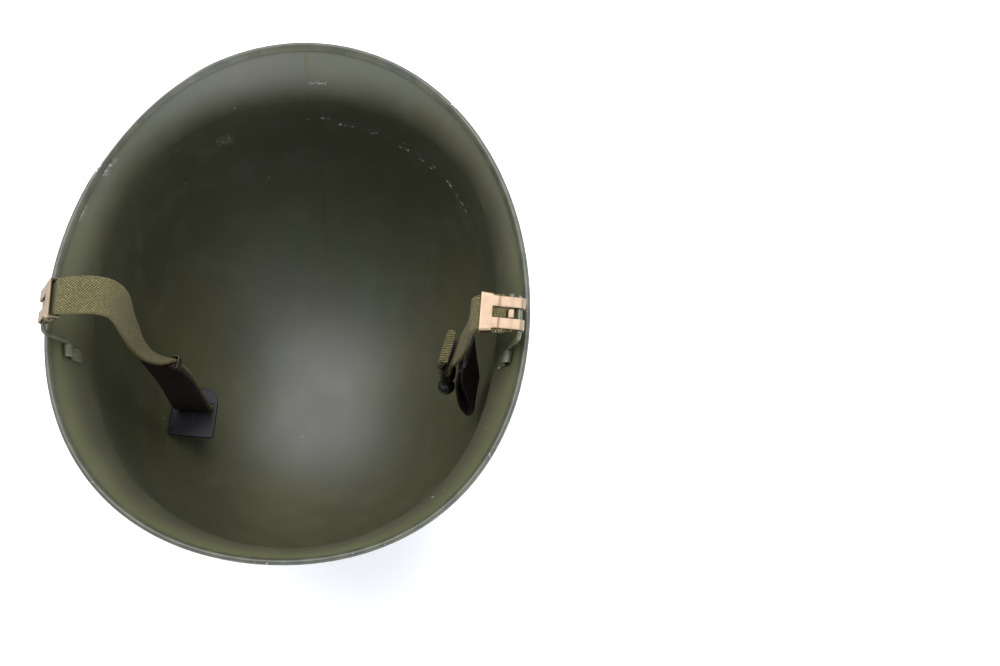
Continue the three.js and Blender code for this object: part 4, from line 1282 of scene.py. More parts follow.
@dataclass
class StrapLoop:
    """One side's wire loop and the two brackets that hold it: where it stands and how it leans."""

    side: Side
    y: float
    height: float
    lean: float
    wire_r: float = 1.2
    standoff: float = 0.8
    width: float = 24.5
    waist: float = 23.6
    front_short: float = 3.4  # the front arm stands so much nearer than the rear one
    depth: float = 22.0
    foot: float = 6.4
    wire_bend: float = 3.6
    foot_bend: float = 2.0
    sheet: float = 0.7
    strip_width: float = 6.4
    strip_play: float = 1.3
    tail: float = 9.5
    eye_play: float = 0.35
    gap: float = 0.3
    slack: tuple[Spot, ...] = ((-4.3, 0.02), (-3.4, 0.12))  # where the strip leaves the wall, how far off
    arch: tuple[float, float, int] = (198.0, -32.0, 26)  # from, to and steps round the wire

    def piece(self, kind: str) -> str:
        """Name of a piece on this loop's side."""
        return f"{kind}_{self.side.name.lower()}"

    def hinge(self, along: float = 0.0) -> np.ndarray:
        """Find the middle of the wire in its brackets, on the right-hand side.

        Args:
            along: a distance along the brackets, towards the front.
        Returns:
            The place in millimetres.
        """
        y = self.y + along
        wall = FORM.wall_x(y, self.height)
        slope = FORM.wall_x(y, self.height + 1) - wall
        off = (self.standoff + self.wire_r) / math.hypot(1, slope)
        return np.array([wall - off, y, self.height + off * slope])

    def up(self) -> np.ndarray:
        """Direction from the hinge to the cross bar, on the right-hand side."""
        return np.array([math.sin(math.radians(self.lean)), 0.0, math.cos(math.radians(self.lean))])

    def bar(self) -> np.ndarray:
        """Middle of the cross bar on its own side."""
        return (self.hinge() + self.up() * self.depth) * np.array([self.side.value, 1, 1])

    def at(self, end: End, reach: float) -> float:
        """Distance along the hinge of a place that is reach towards one end."""
        return end.value * (reach - (self.front_short if end is End.FRONT else 0.0))

    def arm(self, end: End) -> list[tuple[np.ndarray, float]]:
        """Lay one arm of the wire, on the right-hand side.

        Args:
            end: which arm.
        Returns:
            Its corners from the foot to the cross bar, each with the size of its bend.
        """
        shoulder = self.hinge() + np.array([0.0, self.at(end, self.width / 2), 0.0]) + self.up() * self.depth
        return [(self.hinge(self.at(end, self.waist / 2 + self.foot)), 0.0),
                (self.hinge(self.at(end, self.waist / 2)), self.foot_bend), (shoulder, self.wire_bend)]

    def own_side(self, line: Line) -> Line:
        """A right-hand line on this loop's side."""
        mirror = np.array([self.side.value, 1, 1])
        return Line(line.centre * mirror, line.side * mirror, line.face * mirror)

    def build_wire(self, finish: bpy.types.Material) -> None:
        """Build the bent wire and dress it.

        Args:
            finish: the enamel.
        """
        path = bent([*self.arm(End.REAR), *reversed(self.arm(End.FRONT))])
        turn = np.radians(np.arange(0, 360, 22.5))
        circle = np.column_stack([np.cos(turn), np.sin(turn)]) * self.wire_r
        line = self.own_side(carried(path, Vector((1, 0, 0))))
        made = swept(self.piece("wire_loop") + "_dressed", line, circle)
        edge_wear(made, lambda a, b: b / self.wire_r, 0.4)
        hand_over(made, self.piece("wire_loop"), "olive_wire", finish)

    def build_bracket(self, end: End, finish: bpy.types.Material) -> None:
        """Build one bracket, a strip arched over the wire, and dress it.

        Args:
            end: which bracket.
            finish: the enamel.
        """
        near = self.gap + self.sheet / 2
        eye = self.wire_r + self.eye_play + self.sheet / 2
        middle = self.standoff + self.wire_r
        fold = [(up, near) for up in (-self.tail, -8.0, -6.5, -5.2)]
        fold += [(up, near + off) for up, off in self.slack]
        fold += [(x, middle + y) for x, y in arc(0.0, 0.0, eye, *self.arch)]
        y = self.y + self.at(end, self.waist / 2 + self.strip_play + self.strip_width / 2)
        centre, beside = (np.array([FORM.on_wall(place, self.height + up, off) for up, off in fold])
                          for place in (y, y + 1.0))
        side = unit(beside - centre)
        line = self.own_side(Line(centre, side, np.cross(unit(np.gradient(centre, axis=0)), side)))
        name = f"{self.piece('loop_bracket')}_{end.name.lower()}"
        section = rounded_box(self.strip_width / 2, self.sheet / 2, 0.25, 0.25, 6)
        made = swept(name + "_dressed", line, section)
        edge_wear(made, lambda a, b: np.abs(a) / (self.strip_width / 2) * 4 - 3.2)
        hand_over(made, name, "olive_wire", finish)

    def clip_frame(self, slide: float, tilt: float, yaw: float) -> Matrix:
        """Set the clip's axes on its bar: u to its mouth, v across, w out of its front plate.

        Args:
            slide: how far it has slid along the bar, towards the front.
            tilt: how far its front plate leans from facing up, in degrees.
            yaw: how far it is turned on the bar, in degrees.
        Returns:
            The axes and their origin, in millimetres.
        """
        sign, lean = self.side.value, math.radians(tilt)
        w = Vector((sign * math.sin(lean), 0, math.cos(lean)))
        turned = Matrix.Rotation(-sign * math.radians(yaw), 3, w)
        u = turned @ Vector((-sign * math.cos(lean), 0, math.sin(lean)))
        placed = Matrix((u, w.cross(u), w)).transposed().to_4x4()
        placed.translation = Vector(self.bar()) + Vector((0, slide, 0))
        return placed


@dataclass
class StrapClip:
    """A folded brass clip: a sleeve that grips the web, with a window, two fingers curled over the
    loop's cross bar and a tongue between them. Lines are u along it and w out of its front plate."""

    side: Side
    frame: Matrix
    sheet: float = 0.7
    mouth: float = 19.2
    throat: float = 11.2
    window: float = 13.4
    mouth_half: float = 9.45
    throat_half: float = 8.6
    front: float = 3.0
    back: float = -2.7
    corner: float = 0.7
    finger: Spot = (2.9, 8.1)  # from and to, across the clip
    tongue: Spot = (0.0, 2.1)
    wing: Spot = (5.0, 8.6)
    side_walls: tuple[float, ...] = (1.7, 0.15, -1.3)
    bar_r: float = 1.4
    play: float = 0.5
    hem: float = 0.74
    edge: float = 0.14
    # A step across each finger and a second one where it starts to curl, as u and the drop
    finger_steps: tuple[Spot, ...] = (
        (10.9, 0.0), (10.5, 0.06), (9.9, 0.38), (9.4, 0.45), (7.8, 0.45), (6.2, 0.46), (5.0, 0.47),
        (4.5, 0.5),
        (3.4, 0.72), (2.8, 0.76), (1.4, 0.77))
    curl: tuple[float, float, int] = (82.0, 290.0, 15)
    tongue_line: tuple[Spot, ...] = (
        (9.0, -2.7), (6.6, -2.7), (5.6, -2.1), (5.5, -0.4), (5.5, 0.7), (5.2, 1.3), (4.6, 1.5), (2.9, 1.6))
    wing_line: tuple[Spot, ...] = ((9.8, -2.7), (8.2, -2.65), (6.4, -2.35), (4.8, -1.75), (3.6, -1.1))

    def bend(self, start: int) -> list[RingPoint]:
        """Round one corner of the sleeve.

        Args:
            start: the angle at which the corner starts, in degrees clockwise: 90, 0, -90 or 180.
        Returns:
            Three points, as v, w and the wall.
        """
        r, half = self.corner, self.throat_half + 0.2
        side = 1 if start in (90, 0) else -1
        level = self.front - r if start in (90, 180) else self.back + r
        angles = (math.radians(a) for a in (start - 22, start - 45, start - 68))
        return [(side * (half - r) + r * math.cos(a), level + r * math.sin(a), Wall.SIDE) for a in angles]

    def ring(self) -> list[RingPoint]:
        """Lay points round the sleeve at its throat.

        Returns:
            The points as v, w and the wall that they are in.
        """
        (inner, outer), half, walls = self.finger, self.throat_half + 0.2, self.side_walls
        flats = [-outer, -7.0, -5.6, -4.2, -inner, -1.4, 0, 1.4, inner, 4.2, 5.6, 7.0, outer]
        rear = [outer, 5.6, self.tongue[1], 0, -self.tongue[1], -5.6, -outer]
        return [
            *((v, self.front, Wall.FRONT) for v in flats), *self.bend(90),
            *((half, w, Wall.SIDE) for w in walls),
            *self.bend(0), *((v, self.back, Wall.BACK) for v in rear), *self.bend(-90),
            *((-half, w, Wall.SIDE) for w in reversed(walls)), *self.bend(180)]

    def sleeve(self, ring: Sequence[RingPoint]) -> tuple[list[Place], list[tuple[int, ...]]]:
        """Fold the sleeve, from inside its hem round the mouth and back to the throat.

        Args:
            ring: the points round it.
        Returns:
            Its points in the clip's axes and its faces.
        """
        middle = (self.front + self.back) / 2
        rows = [*((u, self.hem) for u in (17.2, 18.2, 18.9)), (self.mouth - 0.02, self.hem * 0.5),
                *((u, 0.0) for u in (self.mouth - 0.2, 18.3, 17.0, 15.2, self.window, 12.3, self.throat))]
        points: list[Place] = []
        for u, inset in rows:
            share = (u - self.throat) / (self.mouth - self.throat)
            spread = 1 + (self.mouth_half / self.throat_half - 1) * share
            points += [(u, v * (1 - inset / 9 * (abs(v) > 5)) * spread,
                        w - inset * (w - middle) / (self.front - middle)) for v, w, _ in ring]
        count, faces = len(ring), []
        for i in range(len(rows) - 1):
            for j in range(count):
                k = (j + 1) % count
                gap = abs(ring[j][0]) <= self.finger[0] and abs(ring[k][0]) <= self.finger[0]
                open_front = ring[j][2] is ring[k][2] is Wall.FRONT and gap
                open_side = Wall.SIDE in (ring[j][2], ring[k][2])
                if (open_front or open_side) and rows[i][0] <= self.window:
                    continue
                faces.append((i * count + j, i * count + k, (i + 1) * count + k, (i + 1) * count + j))
        return points, faces

    def sheet_surface(self) -> bpy.types.Object:
        """Fold the clip's middle surface as one sheet, in its own axes.

        Returns:
            The sheet, with the attribute worn and a mask of painted shade.
        """
        ring = self.ring()
        points, faces = self.sleeve(ring)
        last = len(points) - len(ring)
        fingers = [(u, self.front - drop) for u, drop in self.finger_steps]
        fingers += arc(0.0, 0.0, self.bar_r + self.play + self.sheet / 2, *self.curl)
        for path, wall, (low, high) in (
            (fingers, Wall.FRONT, self.finger), (self.tongue_line, Wall.BACK, self.tongue),
            (self.wing_line, Wall.BACK, self.wing),
        ):
            chosen = [j for j, (v, _, name) in enumerate(ring) if name is wall and low <= abs(v) <= high]
            pairs = [(j, k) for j, k in zip(chosen, chosen[1:]) if k == j + 1]
            before = {j: last + j for j in chosen}
            for u, w in path:
                now = {j: len(points) + i for i, j in enumerate(chosen)}
                points += [(u, ring[j][0], w) for j in chosen]
                faces += [(before[j], before[k], now[k], now[j]) for j, k in pairs]
                before = now
        made = mesh_of(f"strap_clip_{self.side.name.lower()}_dressed", np.array(points) * MM, faces)
        self.mark_wear(made, np.array(points), len(ring))
        return made

    def mark_wear(self, made: bpy.types.Object, place: np.ndarray, count: int) -> None:
        """Mark where the hem and the lower corner are rubbed bright, and where shade is painted: the side
        walls, the inside of the hem and the slit at the mouth.

        Args:
            made: the sheet.
            place: its points in the clip's axes.
            count: the number of points in a row round the sleeve.
        """
        u, v, w = place[:, 0], np.abs(place[:, 1]), place[:, 2]
        row = np.arange(len(place)) // count
        hem = np.clip((u - 18.8) / 0.3, 0, 1)
        corner = (v > self.finger[1]) & (w > 1.9) & (u > self.window - 0.1)
        # painted shade: the side walls, the inside of the hem and the slit at the mouth
        side_wall = (v > self.finger[1] + 0.4) & (w < 1.9)
        inside = (u > self.window) & (row < 3)
        slit = (row == 3) * 1.0
        store(made, "worn", np.maximum(hem, corner * 0.6))
        store(made, "grimy", np.maximum(np.maximum(side_wall, inside) * (1 - hem) * 0.95, slit))

    def build(self, slot: str, finish: bpy.types.Material) -> None:
        """Build the clip and dress it.

        Args:
            slot: the name of its material slot, which is only logged.
            finish: the brass.
        """
        made = tidy(self.sheet_surface(), 180)
        modified(made, "SOLIDIFY", thickness=self.sheet * MM, offset=0.0, use_even_offset=True)
        modified(made, "BEVEL", width=self.edge * MM, segments=2, limit_method="ANGLE",
                 angle_limit=math.radians(50))
        made = baked(made)
        made.data.transform(into_frame(self.frame))
        hand_over(tidy(made, 32), f"strap_clip_{self.side.name.lower()}", slot, finish)


def into_frame(placed: Matrix) -> Matrix:
    """Bring axes whose origin is in the source's millimetres into the row frame.

    Args:
        placed: the axes.
    Returns:
        A matrix for a mesh in metres.
    """
    moved = placed.copy()
    moved.translation = Vector(in_frame(np.array(placed.translation)))
    return moved


@dataclass
class Route:
    """A strap's way: rows of x, y, z, the turn and lift of its width in degrees, width and thickness."""

    rows: Sequence[Row]
    points: int = 420
    soften: float = 5.0  # points over which a twist is evened out

    def centre(self, t: np.ndarray) -> np.ndarray:
        """Find places on the smooth curve through the rows.

        Args:
            t: shares of the way, 0 at the first row and 1 at the last.
        Returns:
            The places in millimetres.
        """
        p = np.array([row[:3] for row in self.rows], float)
        p = np.vstack([2 * p[0] - p[1], p, 2 * p[-1] - p[-2]])
        place = np.clip(t, 0, 1) * (len(self.rows) - 1)
        i = np.minimum(place.astype(int), len(self.rows) - 2)
        w = (place - i)[:, None]
        x0, x1, x2, x3 = (p[i + k] for k in range(4))
        d0, d1, d2 = (np.maximum(np.linalg.norm(b - a, axis=1), 1e-6)[:, None] ** 0.5
                      for a, b in ((x0, x1), (x1, x2), (x2, x3)))
        t1 = ((x1 - x0) / d0 - (x2 - x0) / (d0 + d1) + (x2 - x1) / d1) * d1
        t2 = ((x2 - x1) / d1 - (x3 - x1) / (d1 + d2) + (x3 - x2) / d2) * d1
        return x1 + t1 * w + (3 * (x2 - x1) - 2 * t1 - t2) * w**2 + (2 * (x1 - x2) + t1 + t2) * w**3

    def column(self, index: int, t: np.ndarray) -> np.ndarray:
        """One column of the rows, mixed evenly between them."""
        places = np.linspace(0, 1, len(self.rows))
        return np.interp(t, places, [row[index] for row in self.rows])

    def line(self) -> Line:
        """Lay the route's line.

        Returns:
            The line, whose side and face are half the width and half the thickness long.
        """
        t = np.linspace(0, 1, self.points)
        centre = self.centre(t)
        ahead = unit(self.centre(t + 0.002) - self.centre(t - 0.002))
        turn, lift = np.radians(self.column(3, t)), np.radians(self.column(4, t))
        side = np.column_stack([np.cos(turn) * np.cos(lift), np.sin(turn) * np.cos(lift), np.sin(lift)])
        reach = np.arange(-3 * self.soften, 3 * self.soften + 1)
        bell = np.exp(-((reach / self.soften) ** 2))
        padded = np.pad(side, ((len(reach) // 2,) * 2, (0, 0)), mode="edge")
        side = np.column_stack([np.convolve(padded[:, k], bell / bell.sum(), "valid") for k in range(3)])
        side = unit(side - ahead * (side * ahead).sum(1, keepdims=True))
        face = np.cross(ahead, side)
        return Line(centre, side * self.column(5, t)[:, None] / 2, face * self.column(6, t)[:, None] / 2)


HELD_END: tuple[Row, ...] = (  # along the clip, above its axis, width, thickness
    (6.8, 0.1, 17.8, 3.8), (8.6, 0.1, 19.2, 3.9), (12.6, 0.1, 19.4, 3.9), (14.4, 0.0, 16.2, 3.6),
    (18.2, -0.75, 17.0, 2.4), (20.2, -0.75, 17.4, 2.2))


def held_rows(placed: Matrix) -> list[Row]:
    """Lay the end of a web inside its clip.

    Args:
        placed: the clip's axes.
    Returns:
        Rows for a route.
    """
    across = placed.to_3x3() @ Vector((0, 1, 0))
    turn = math.degrees(math.atan2(abs(across.y), across.x * math.copysign(1, across.y)))
    return [(*(placed @ Vector((u, 0, w))), turn, 0.0, width, thick) for u, w, width, thick in HELD_END]


def web_section() -> np.ndarray:
    """Draw the section of the web in halves of its width and thickness: flat, with a fuller selvedge.

    Returns:
        The section's a and b.
    """
    section = rounded_box(1.0, 1.0, 0.075, 0.75, 14)
    near_edge = np.clip((np.abs(section[:, 0]) - 0.8) / 0.12, 0, 1) * (np.abs(section[:, 0]) < 0.97)
    section[:, 1] *= 0.93 + 0.07 * near_edge
    return section


def plate_from(outline: Sequence[Spot], hole: Sequence[Spot], thick: float, edge: float,
               name: str) -> bpy.types.Object:
    """Stamp a plate with softened edges.

    Args:
        outline: its flat outline, in millimetres.
        hole: the outline of its hole.
        thick: its thickness.
        edge: how much its edges are rounded.
        name: the object's name.
    Returns:
        The plate.
    """
    curve = bpy.data.curves.new(name, "CURVE")
    curve.dimensions, curve.fill_mode = "2D", "BOTH"
    for loop in (outline, hole):
        spline = curve.splines.new("POLY")
        spline.points.add(len(loop) - 1)
        for point, (x, y) in zip(spline.points, loop):
            point.co = (x * MM, y * MM, 0, 1)
        spline.use_cyclic_u = True
    curve.extrude, curve.bevel_depth = (thick / 2 - edge) * MM, edge * MM
    curve.offset, curve.bevel_resolution = -edge * MM, 2
    return baked(new_object(name, curve))


def share_section(made: bpy.types.Object, half_a: float, half_b: float) -> None:
    """Bring a section's a and b from millimetres to shares of its halves, as the finishes read them.

    Args:
        made: a swept piece.
        half_a: half its width.
        half_b: half its thickness.
    """
    for label, half in (("a", half_a), ("b", half_b)):
        made.data.attributes[label].data.foreach_set("value", stored(made, label) / half)


def stitches(line: Line, pitch: float, length: float, thread: float) -> bpy.types.Object:
    """Sew a row of stitches along a line.

    Args:
        line: the seam.
        pitch: from one stitch to the next, in millimetres.
        length: a stitch's length.
        thread: its thickness.
    Returns:
        The stitches, which take the second material of the piece that they are sewn in.
    """
    base = line_object("stitch_line", in_frame(line.centre), False, {})
    made = grown("stitches", stitch_tree(), base, {
        "Pitch": pitch * MM, "Stitch": length * MM, "Thread": thread * MM})
    made.data.polygons.foreach_set("material_index", [1] * len(made.data.polygons))
    made.data.polygons.foreach_set("use_smooth", [True] * len(made.data.polygons))
    return made


def leather_strip(name: str, line: Line, size: Spot, seams: Sequence[Spot],
                  thread: float) -> bpy.types.Object:
    """Cut a strip of leather and sew its seams.

    Args:
        name: the object's name.
        line: the strip's middle.
        size: its width and thickness in millimetres.
        seams: each seam's place across the strip, and the face that it shows on, 1 or -1.
        thread: the thread's thickness.
    Returns:
        The strip, for the leather and the thread to dress.
    """
    (half, deep), strip = (size[0] / 2, size[1] / 2), line.plain()
    body = swept(name + "_body", strip, rounded_box(half, deep, 0.5, 0.5, 12), sharp=60)
    share_section(body, half, deep)
    rows = [stitches(strip.moved(at, face * (deep + 0.02)), 3.2, 2.4, thread) for at, face in seams]
    return joined(name, [body, *rows])


@dataclass
class LeftHalfStrap:
    """The half strap with the release plate: web, leather facing, keeper and plate."""

    clip: Matrix
    rows: tuple[Row, ...] = (
        (-105.4, -16.2, 210.6, 90, 0, 18.2, 2.2), (-99.4, -15.9, 211.2, 90, 0, 19, 2.2),
        (-91.5, -15.0, 209.6, 90, 0, 19, 2.2), (-84.4, -14.2, 203.0, 88, 0, 19, 2.2),
        (-81.6, -13.9, 191.2, 82, 0, 19, 2.2), (-81.4, -14.1, 178.5, 80, 0, 19, 2.2),
        (-81.7, -15.0, 166.0, 84, 0, 19, 2.2), (-81.4, -16.8, 154.0, 92, 0, 19, 2.2),
        (-79.6, -18.4, 138.0, 105, -4, 19, 2.2), (-77.0, -18.6, 124.5, 130, -10, 19, 2.2),
        (-74.4, -18.4, 111.5, 171, -12, 19, 2.2), (-69.2, -22.2, 89.6, 180, -9, 19, 2.2),
        (-65.5, -27.8, 69.0, 180, -6, 19, 2.2), (-64.4, -29.5, 48.0, 175, -4, 19, 2.2))
    faced: Spot = (15.85 / 19, 18.45 / 19)  # shares of the web's length
    keeper_at: float = 16.1 / 19
    leather: Spot = (19.6, 2.0)
    leather_off: float = 0.6
    seams: tuple[Spot, ...] = ((-7.6, 1), (7.6, 1))
    web_thick: float = 2.2
    keeper: Spot = (5.0, 0.6)
    keeper_play: float = 0.9
    keeper_fold: float = 0.9
    keeper_lips: tuple[float, ...] = (4.5, 3.5, 2.2)  # points of its two lips, in from the edge
    plate: Place = (-64.5, -29.2, 53.6)
    plate_droop: float = -4.0
    plate_yaw: float = -5.0
    plate_thick: float = 1.6
    plate_half: float = 12.75
    plate_near: float = 16.8
    plate_far: float = 11.0
    plate_round: float = 9.0
    plate_corner: float = 1.2
    slot: Spot = (10.2, 2.3)

    def build_webs(self, web: bpy.types.Material, leather: bpy.types.Material,
                   thread: bpy.types.Material) -> Line:
        """Build the web and its leather facing.

        Args:
            web: the webbing.
            leather: the leather.
            thread: the thread of its seams.
        Returns:
            The web's line, whose face looks to the leather.
        """
        line = Route([*held_rows(self.clip), *self.rows]).line()
        hand_over(swept("web_left", line, web_section(), sharp=60), "web_strap_left", "khaki_web", web)
        line = Line(line.centre, -line.side, -line.face)
        part = line.part(*self.faced).moved(0, (self.web_thick + self.leather[1]) / 2 + self.leather_off)
        made = leather_strip("leather_left", part, self.leather, self.seams, 0.55)
        hand_over(made, "leather_strap_left", "dark_leather", leather, thread)
        return line

    def build_keeper(self, line: Line, finish: bpy.types.Material) -> None:
        """Build the small folded strip over the strap's edge where the leather begins.

        Args:
            line: the web's line.
            finish: the brass.
        """
        at = round(self.keeper_at * (len(line.centre) - 1))
        side, face = unit(line.side[at]), unit(line.face[at])
        middle, fold = (self.leather_off + self.leather[1]) / 2, self.keeper_fold
        half = (self.web_thick + self.leather_off + self.leather[1]) / 2 + self.keeper_play
        edge = self.leather[0] / 2 + self.keeper_play
        path = [*((edge - reach, middle - half) for reach in self.keeper_lips),
                *arc(edge - fold, middle - half + fold, fold, -90, 0, 6),
                *arc(edge - fold, middle + half - fold, fold, 0, 90, 6),
                *((edge - reach, middle + half) for reach in reversed(self.keeper_lips))]
        centre = np.array([line.centre[at] + side * a + face * b for a, b in path])
        across = np.tile(np.cross(face, side), (len(centre), 1))
        run = Line(centre, across, np.cross(unit(np.gradient(centre, axis=0)), across))
        made = swept("keeper", run, rounded_box(self.keeper[0] / 2, self.keeper[1] / 2, 0.2, 0.2, 4))
        hand_over(made, "strap_keeper_left", "worn_brass", finish)

    def build_plate(self, finish: bpy.types.Material) -> None:
        """Build the release plate: square at its near edge, rounded at the far one.

        Args:
            finish: the blackened steel.
        """
        half, near, far, wide, small = (
            self.plate_half, self.plate_near, self.plate_far, self.plate_round, self.plate_corner)
        outline = [*arc(-half + small, -near + small, small, 180, 270, 4),
                   *arc(half - small, -near + small, small, 270, 360, 4),
                   *arc(half - wide, far - wide, wide, 0, 90), *arc(-half + wide, far - wide, wide, 90, 180)]
        x, y = self.slot
        hole = [(-x, -y), (-x, y), (x, y), (x, -y)]
        plate = plate_from(outline, hole, self.plate_thick, 0.3, "plate_body")
        placed = Matrix.Rotation(math.radians(self.plate_yaw), 4, "Z") @ Matrix.Rotation(
            math.radians(self.plate_droop), 4, "Y")
        placed.translation = Vector(self.plate)
        plate.data.transform(into_frame(placed))
        hand_over(tidy(plate, 30), "release_plate", "blackened_steel", finish)


@dataclass
class RightHalfStrap:
    """The half strap with the release stud: web turned round the stirrup bar, leather loop and stud."""

    clip: Matrix
    stud_place: Place = (77.2, -16.4, 116.6)
    stud_turn: float = 78.0
    stud_swing: float = 25.0
    stud_length: float = 19.8
    stud_thick: float = 1.8
    ball_r: float = 4.6
    rows: tuple[Row, ...] = (
        (92.6, -13.9, 186.4, 88, 0, 18, 2.2), (91.4, -13.9, 178.0, 87, 0, 18.6, 2.2),
        (90.0, -13.7, 161.0, 84, 0, 19, 2.2), (87.4, -13.7, 144.0, 82, -2, 19, 2.2),
        (84.2, -14.0, 131.0, 80, -8, 19, 2.2))
    turn_rows: tuple[Row, ...] = (  # round the bar: out of the stirrup's face, up from its bar
        (2.6, 3.4), (2.5, -0.2), (1.75, -2.5), (0, -3.3), (-1.75, -2.5), (-2.5, -0.2), (-2.6, 3.0))
    end_rows: tuple[Row, ...] = (
        (75.6, -14.2, 124.4, 78, -16, 19, 3.8), (77.4, -13.5, 130.0, 78, -8, 19, 4.2))
    leather_rows: tuple[Row, ...] = (
        (88.4, -17.9, 136.0, 77, -10), (88.0, -18.9, 130.0, 74, -11),
        (87.8, -21.4, 117.0, 70, -12), (89.5, -25.4, 99.0, 77, -12), (90.2, -28.0, 89.0, 85, -12),
        (87.0, -29.4, 83.6, 88, -12), (83.8, -27.4, 90.0, 87, -12), (82.6, -24.6, 99.0, 86, -13),
        (82.6, -21.4, 111.0, 84, -15), (85.0, -17.6, 124.0, 80, -13))
    web: Spot = (19.0, 2.2)
    leather: Spot = (19.0, 1.5)
    seams: tuple[Spot, ...] = ((-7.4, -1), (-7.4, 1), (7.4, -1), (7.4, 1))
    sewn: Spot = (0.955, 0.99)  # shares of the web's length between which its end is sewn down
    sewn_rows: Spot = (0.2, 0.75)
    neck: float = 2.2
    stirrup: tuple[Spot, ...] = ((12.2, 1.5), (12.2, -7.4), (11.2, -8.4), (5.5, -12.4), (3.0, -14.0))
    window: tuple[Spot, ...] = ((-10.4, -1.2), (-10.4, -7.0), (10.4, -7.0), (10.4, -1.2))
    collar: tuple[Spot, ...] = (
        (0.0, -6.4), (2.8, -6.6), (4.0, -7.3), (4.4, -8.4), (4.4, -13.4), (3.8, -14.8), (3.0, -16.2),
        (2.8, -17.4))
    groove: tuple[Spot, ...] = ((-0.35, -0.05), (-0.35, -0.45))  # off the ball's skin and its middle
    ball_rows: tuple[Row, ...] = (  # degrees from its top, above the groove and below it
        (38, 48, 58, 68, 76, 84), (100, 108, 120, 132, 144, 156, 168, 180))
    turns: int = 40

    def stud_frame(self) -> Matrix:
        """Set the stirrup's axes: along its bar, up, out of its face.

        Returns:
            The axes and their origin, in millimetres.
        """
        turn, swing = math.radians(self.stud_turn), math.radians(self.stud_swing)
        level = math.cos(swing)
        along = Vector((math.cos(turn) * level, math.sin(turn) * level, -math.sin(swing)))
        out = Vector((math.sin(turn), -math.cos(turn), 0))
        placed = Matrix((along, out.cross(along), out)).transposed().to_4x4()
        placed.translation = Vector(self.stud_place)
        return placed

    def build_web(self, web: bpy.types.Material, thread: bpy.types.Material) -> None:
        """Build the web with its doubled end, sewn across twice.

        Args:
            web: the webbing.
            thread: the thread of its seams.
        """
        placed = self.stud_frame()
        turn = [(*(placed @ Vector((0, up, out))), self.stud_turn, -self.stud_swing, *self.web)
                for out, up in self.turn_rows]
        line = Route([*held_rows(self.clip), *self.rows, *turn, *self.end_rows]).line()
        parts = [swept("web_right_body", line, web_section(), sharp=60)]
        end = line.part(*self.sewn)
        across = np.linspace(-0.82, 0.82, 24)[:, None]
        for at in self.sewn_rows:
            i = round(at * (len(end.centre) - 1))
            seam = Line(end.centre[i] + end.side[i] * across - end.face[i], across, across)
            parts.append(stitches(seam, 2.6, 1.9, 0.55))
        hand_over(joined("web_right", parts), "web_strap_right", "khaki_web", web, thread)

    def build_leather(self, leather: bpy.types.Material, thread: bpy.types.Material) -> None:
        """Build the loop of leather on the web.

        Args:
            leather: the leather.
            thread: the thread of its seams.
        """
        strip = Route([(*row, *self.leather) for row in self.leather_rows], points=260).line()
        made = leather_strip("leather_right", strip, self.leather, self.seams, 0.5)
        hand_over(made, "leather_loop_right", "dark_leather", leather, thread)

    def turned_end(self) -> bpy.types.Object:
        """Turn the stud's end: a collar on the plate, a waist and the ball with a groove round it.

        Returns:
            The turned end, in the stirrup's axes.
        """
        r, low = self.ball_r, -self.stud_length - self.ball_r * 0.55
        above, below = (
            [(r * math.sin(a), low + r * math.cos(a)) for a in np.radians(row)] for row in self.ball_rows)
        profile = [*self.collar, *above, *((r + x, low + y) for x, y in self.groove), *below]
        spun = [(x * math.cos(a), y, x * math.sin(a)) for x, y in profile
                for a in np.linspace(0, 2 * math.pi, self.turns, endpoint=False)]
        faces = [(i + j, i + (j + 1) % self.turns, i + self.turns + (j + 1) % self.turns, i + self.turns + j)
                 for i in range(0, (len(profile) - 1) * self.turns, self.turns) for j in range(self.turns)]
        return mesh_of("stud_ball", np.array(spun) * MM, faces)

    def build_stud(self, finish: bpy.types.Material) -> None:
        """Build the stirrup with its window and the ball on its neck.

        Args:
            finish: the blackened steel.
        """
        half = [*self.stirrup, (self.neck, -self.stud_length)]
        outline = [*((-x, y) for x, y in half), *reversed(half)]
        plate = plate_from(outline, self.window, self.stud_thick, 0.35, "stud_body")
        made = joined("stud", [tidy(plate, 30), tidy(self.turned_end(), 24)])
        made.data.transform(into_frame(self.stud_frame()))
        hand_over(shaded(made, 30), "release_stud", "blackened_steel", finish)


@dataclass(frozen=True)
class Softbox:
    """One square soft light: the way to it from the front (+Y) towards +X, its size and power."""

    name: str
    azimuth: float
    elevation: float
    size: float  # metres
    power: float  # watts


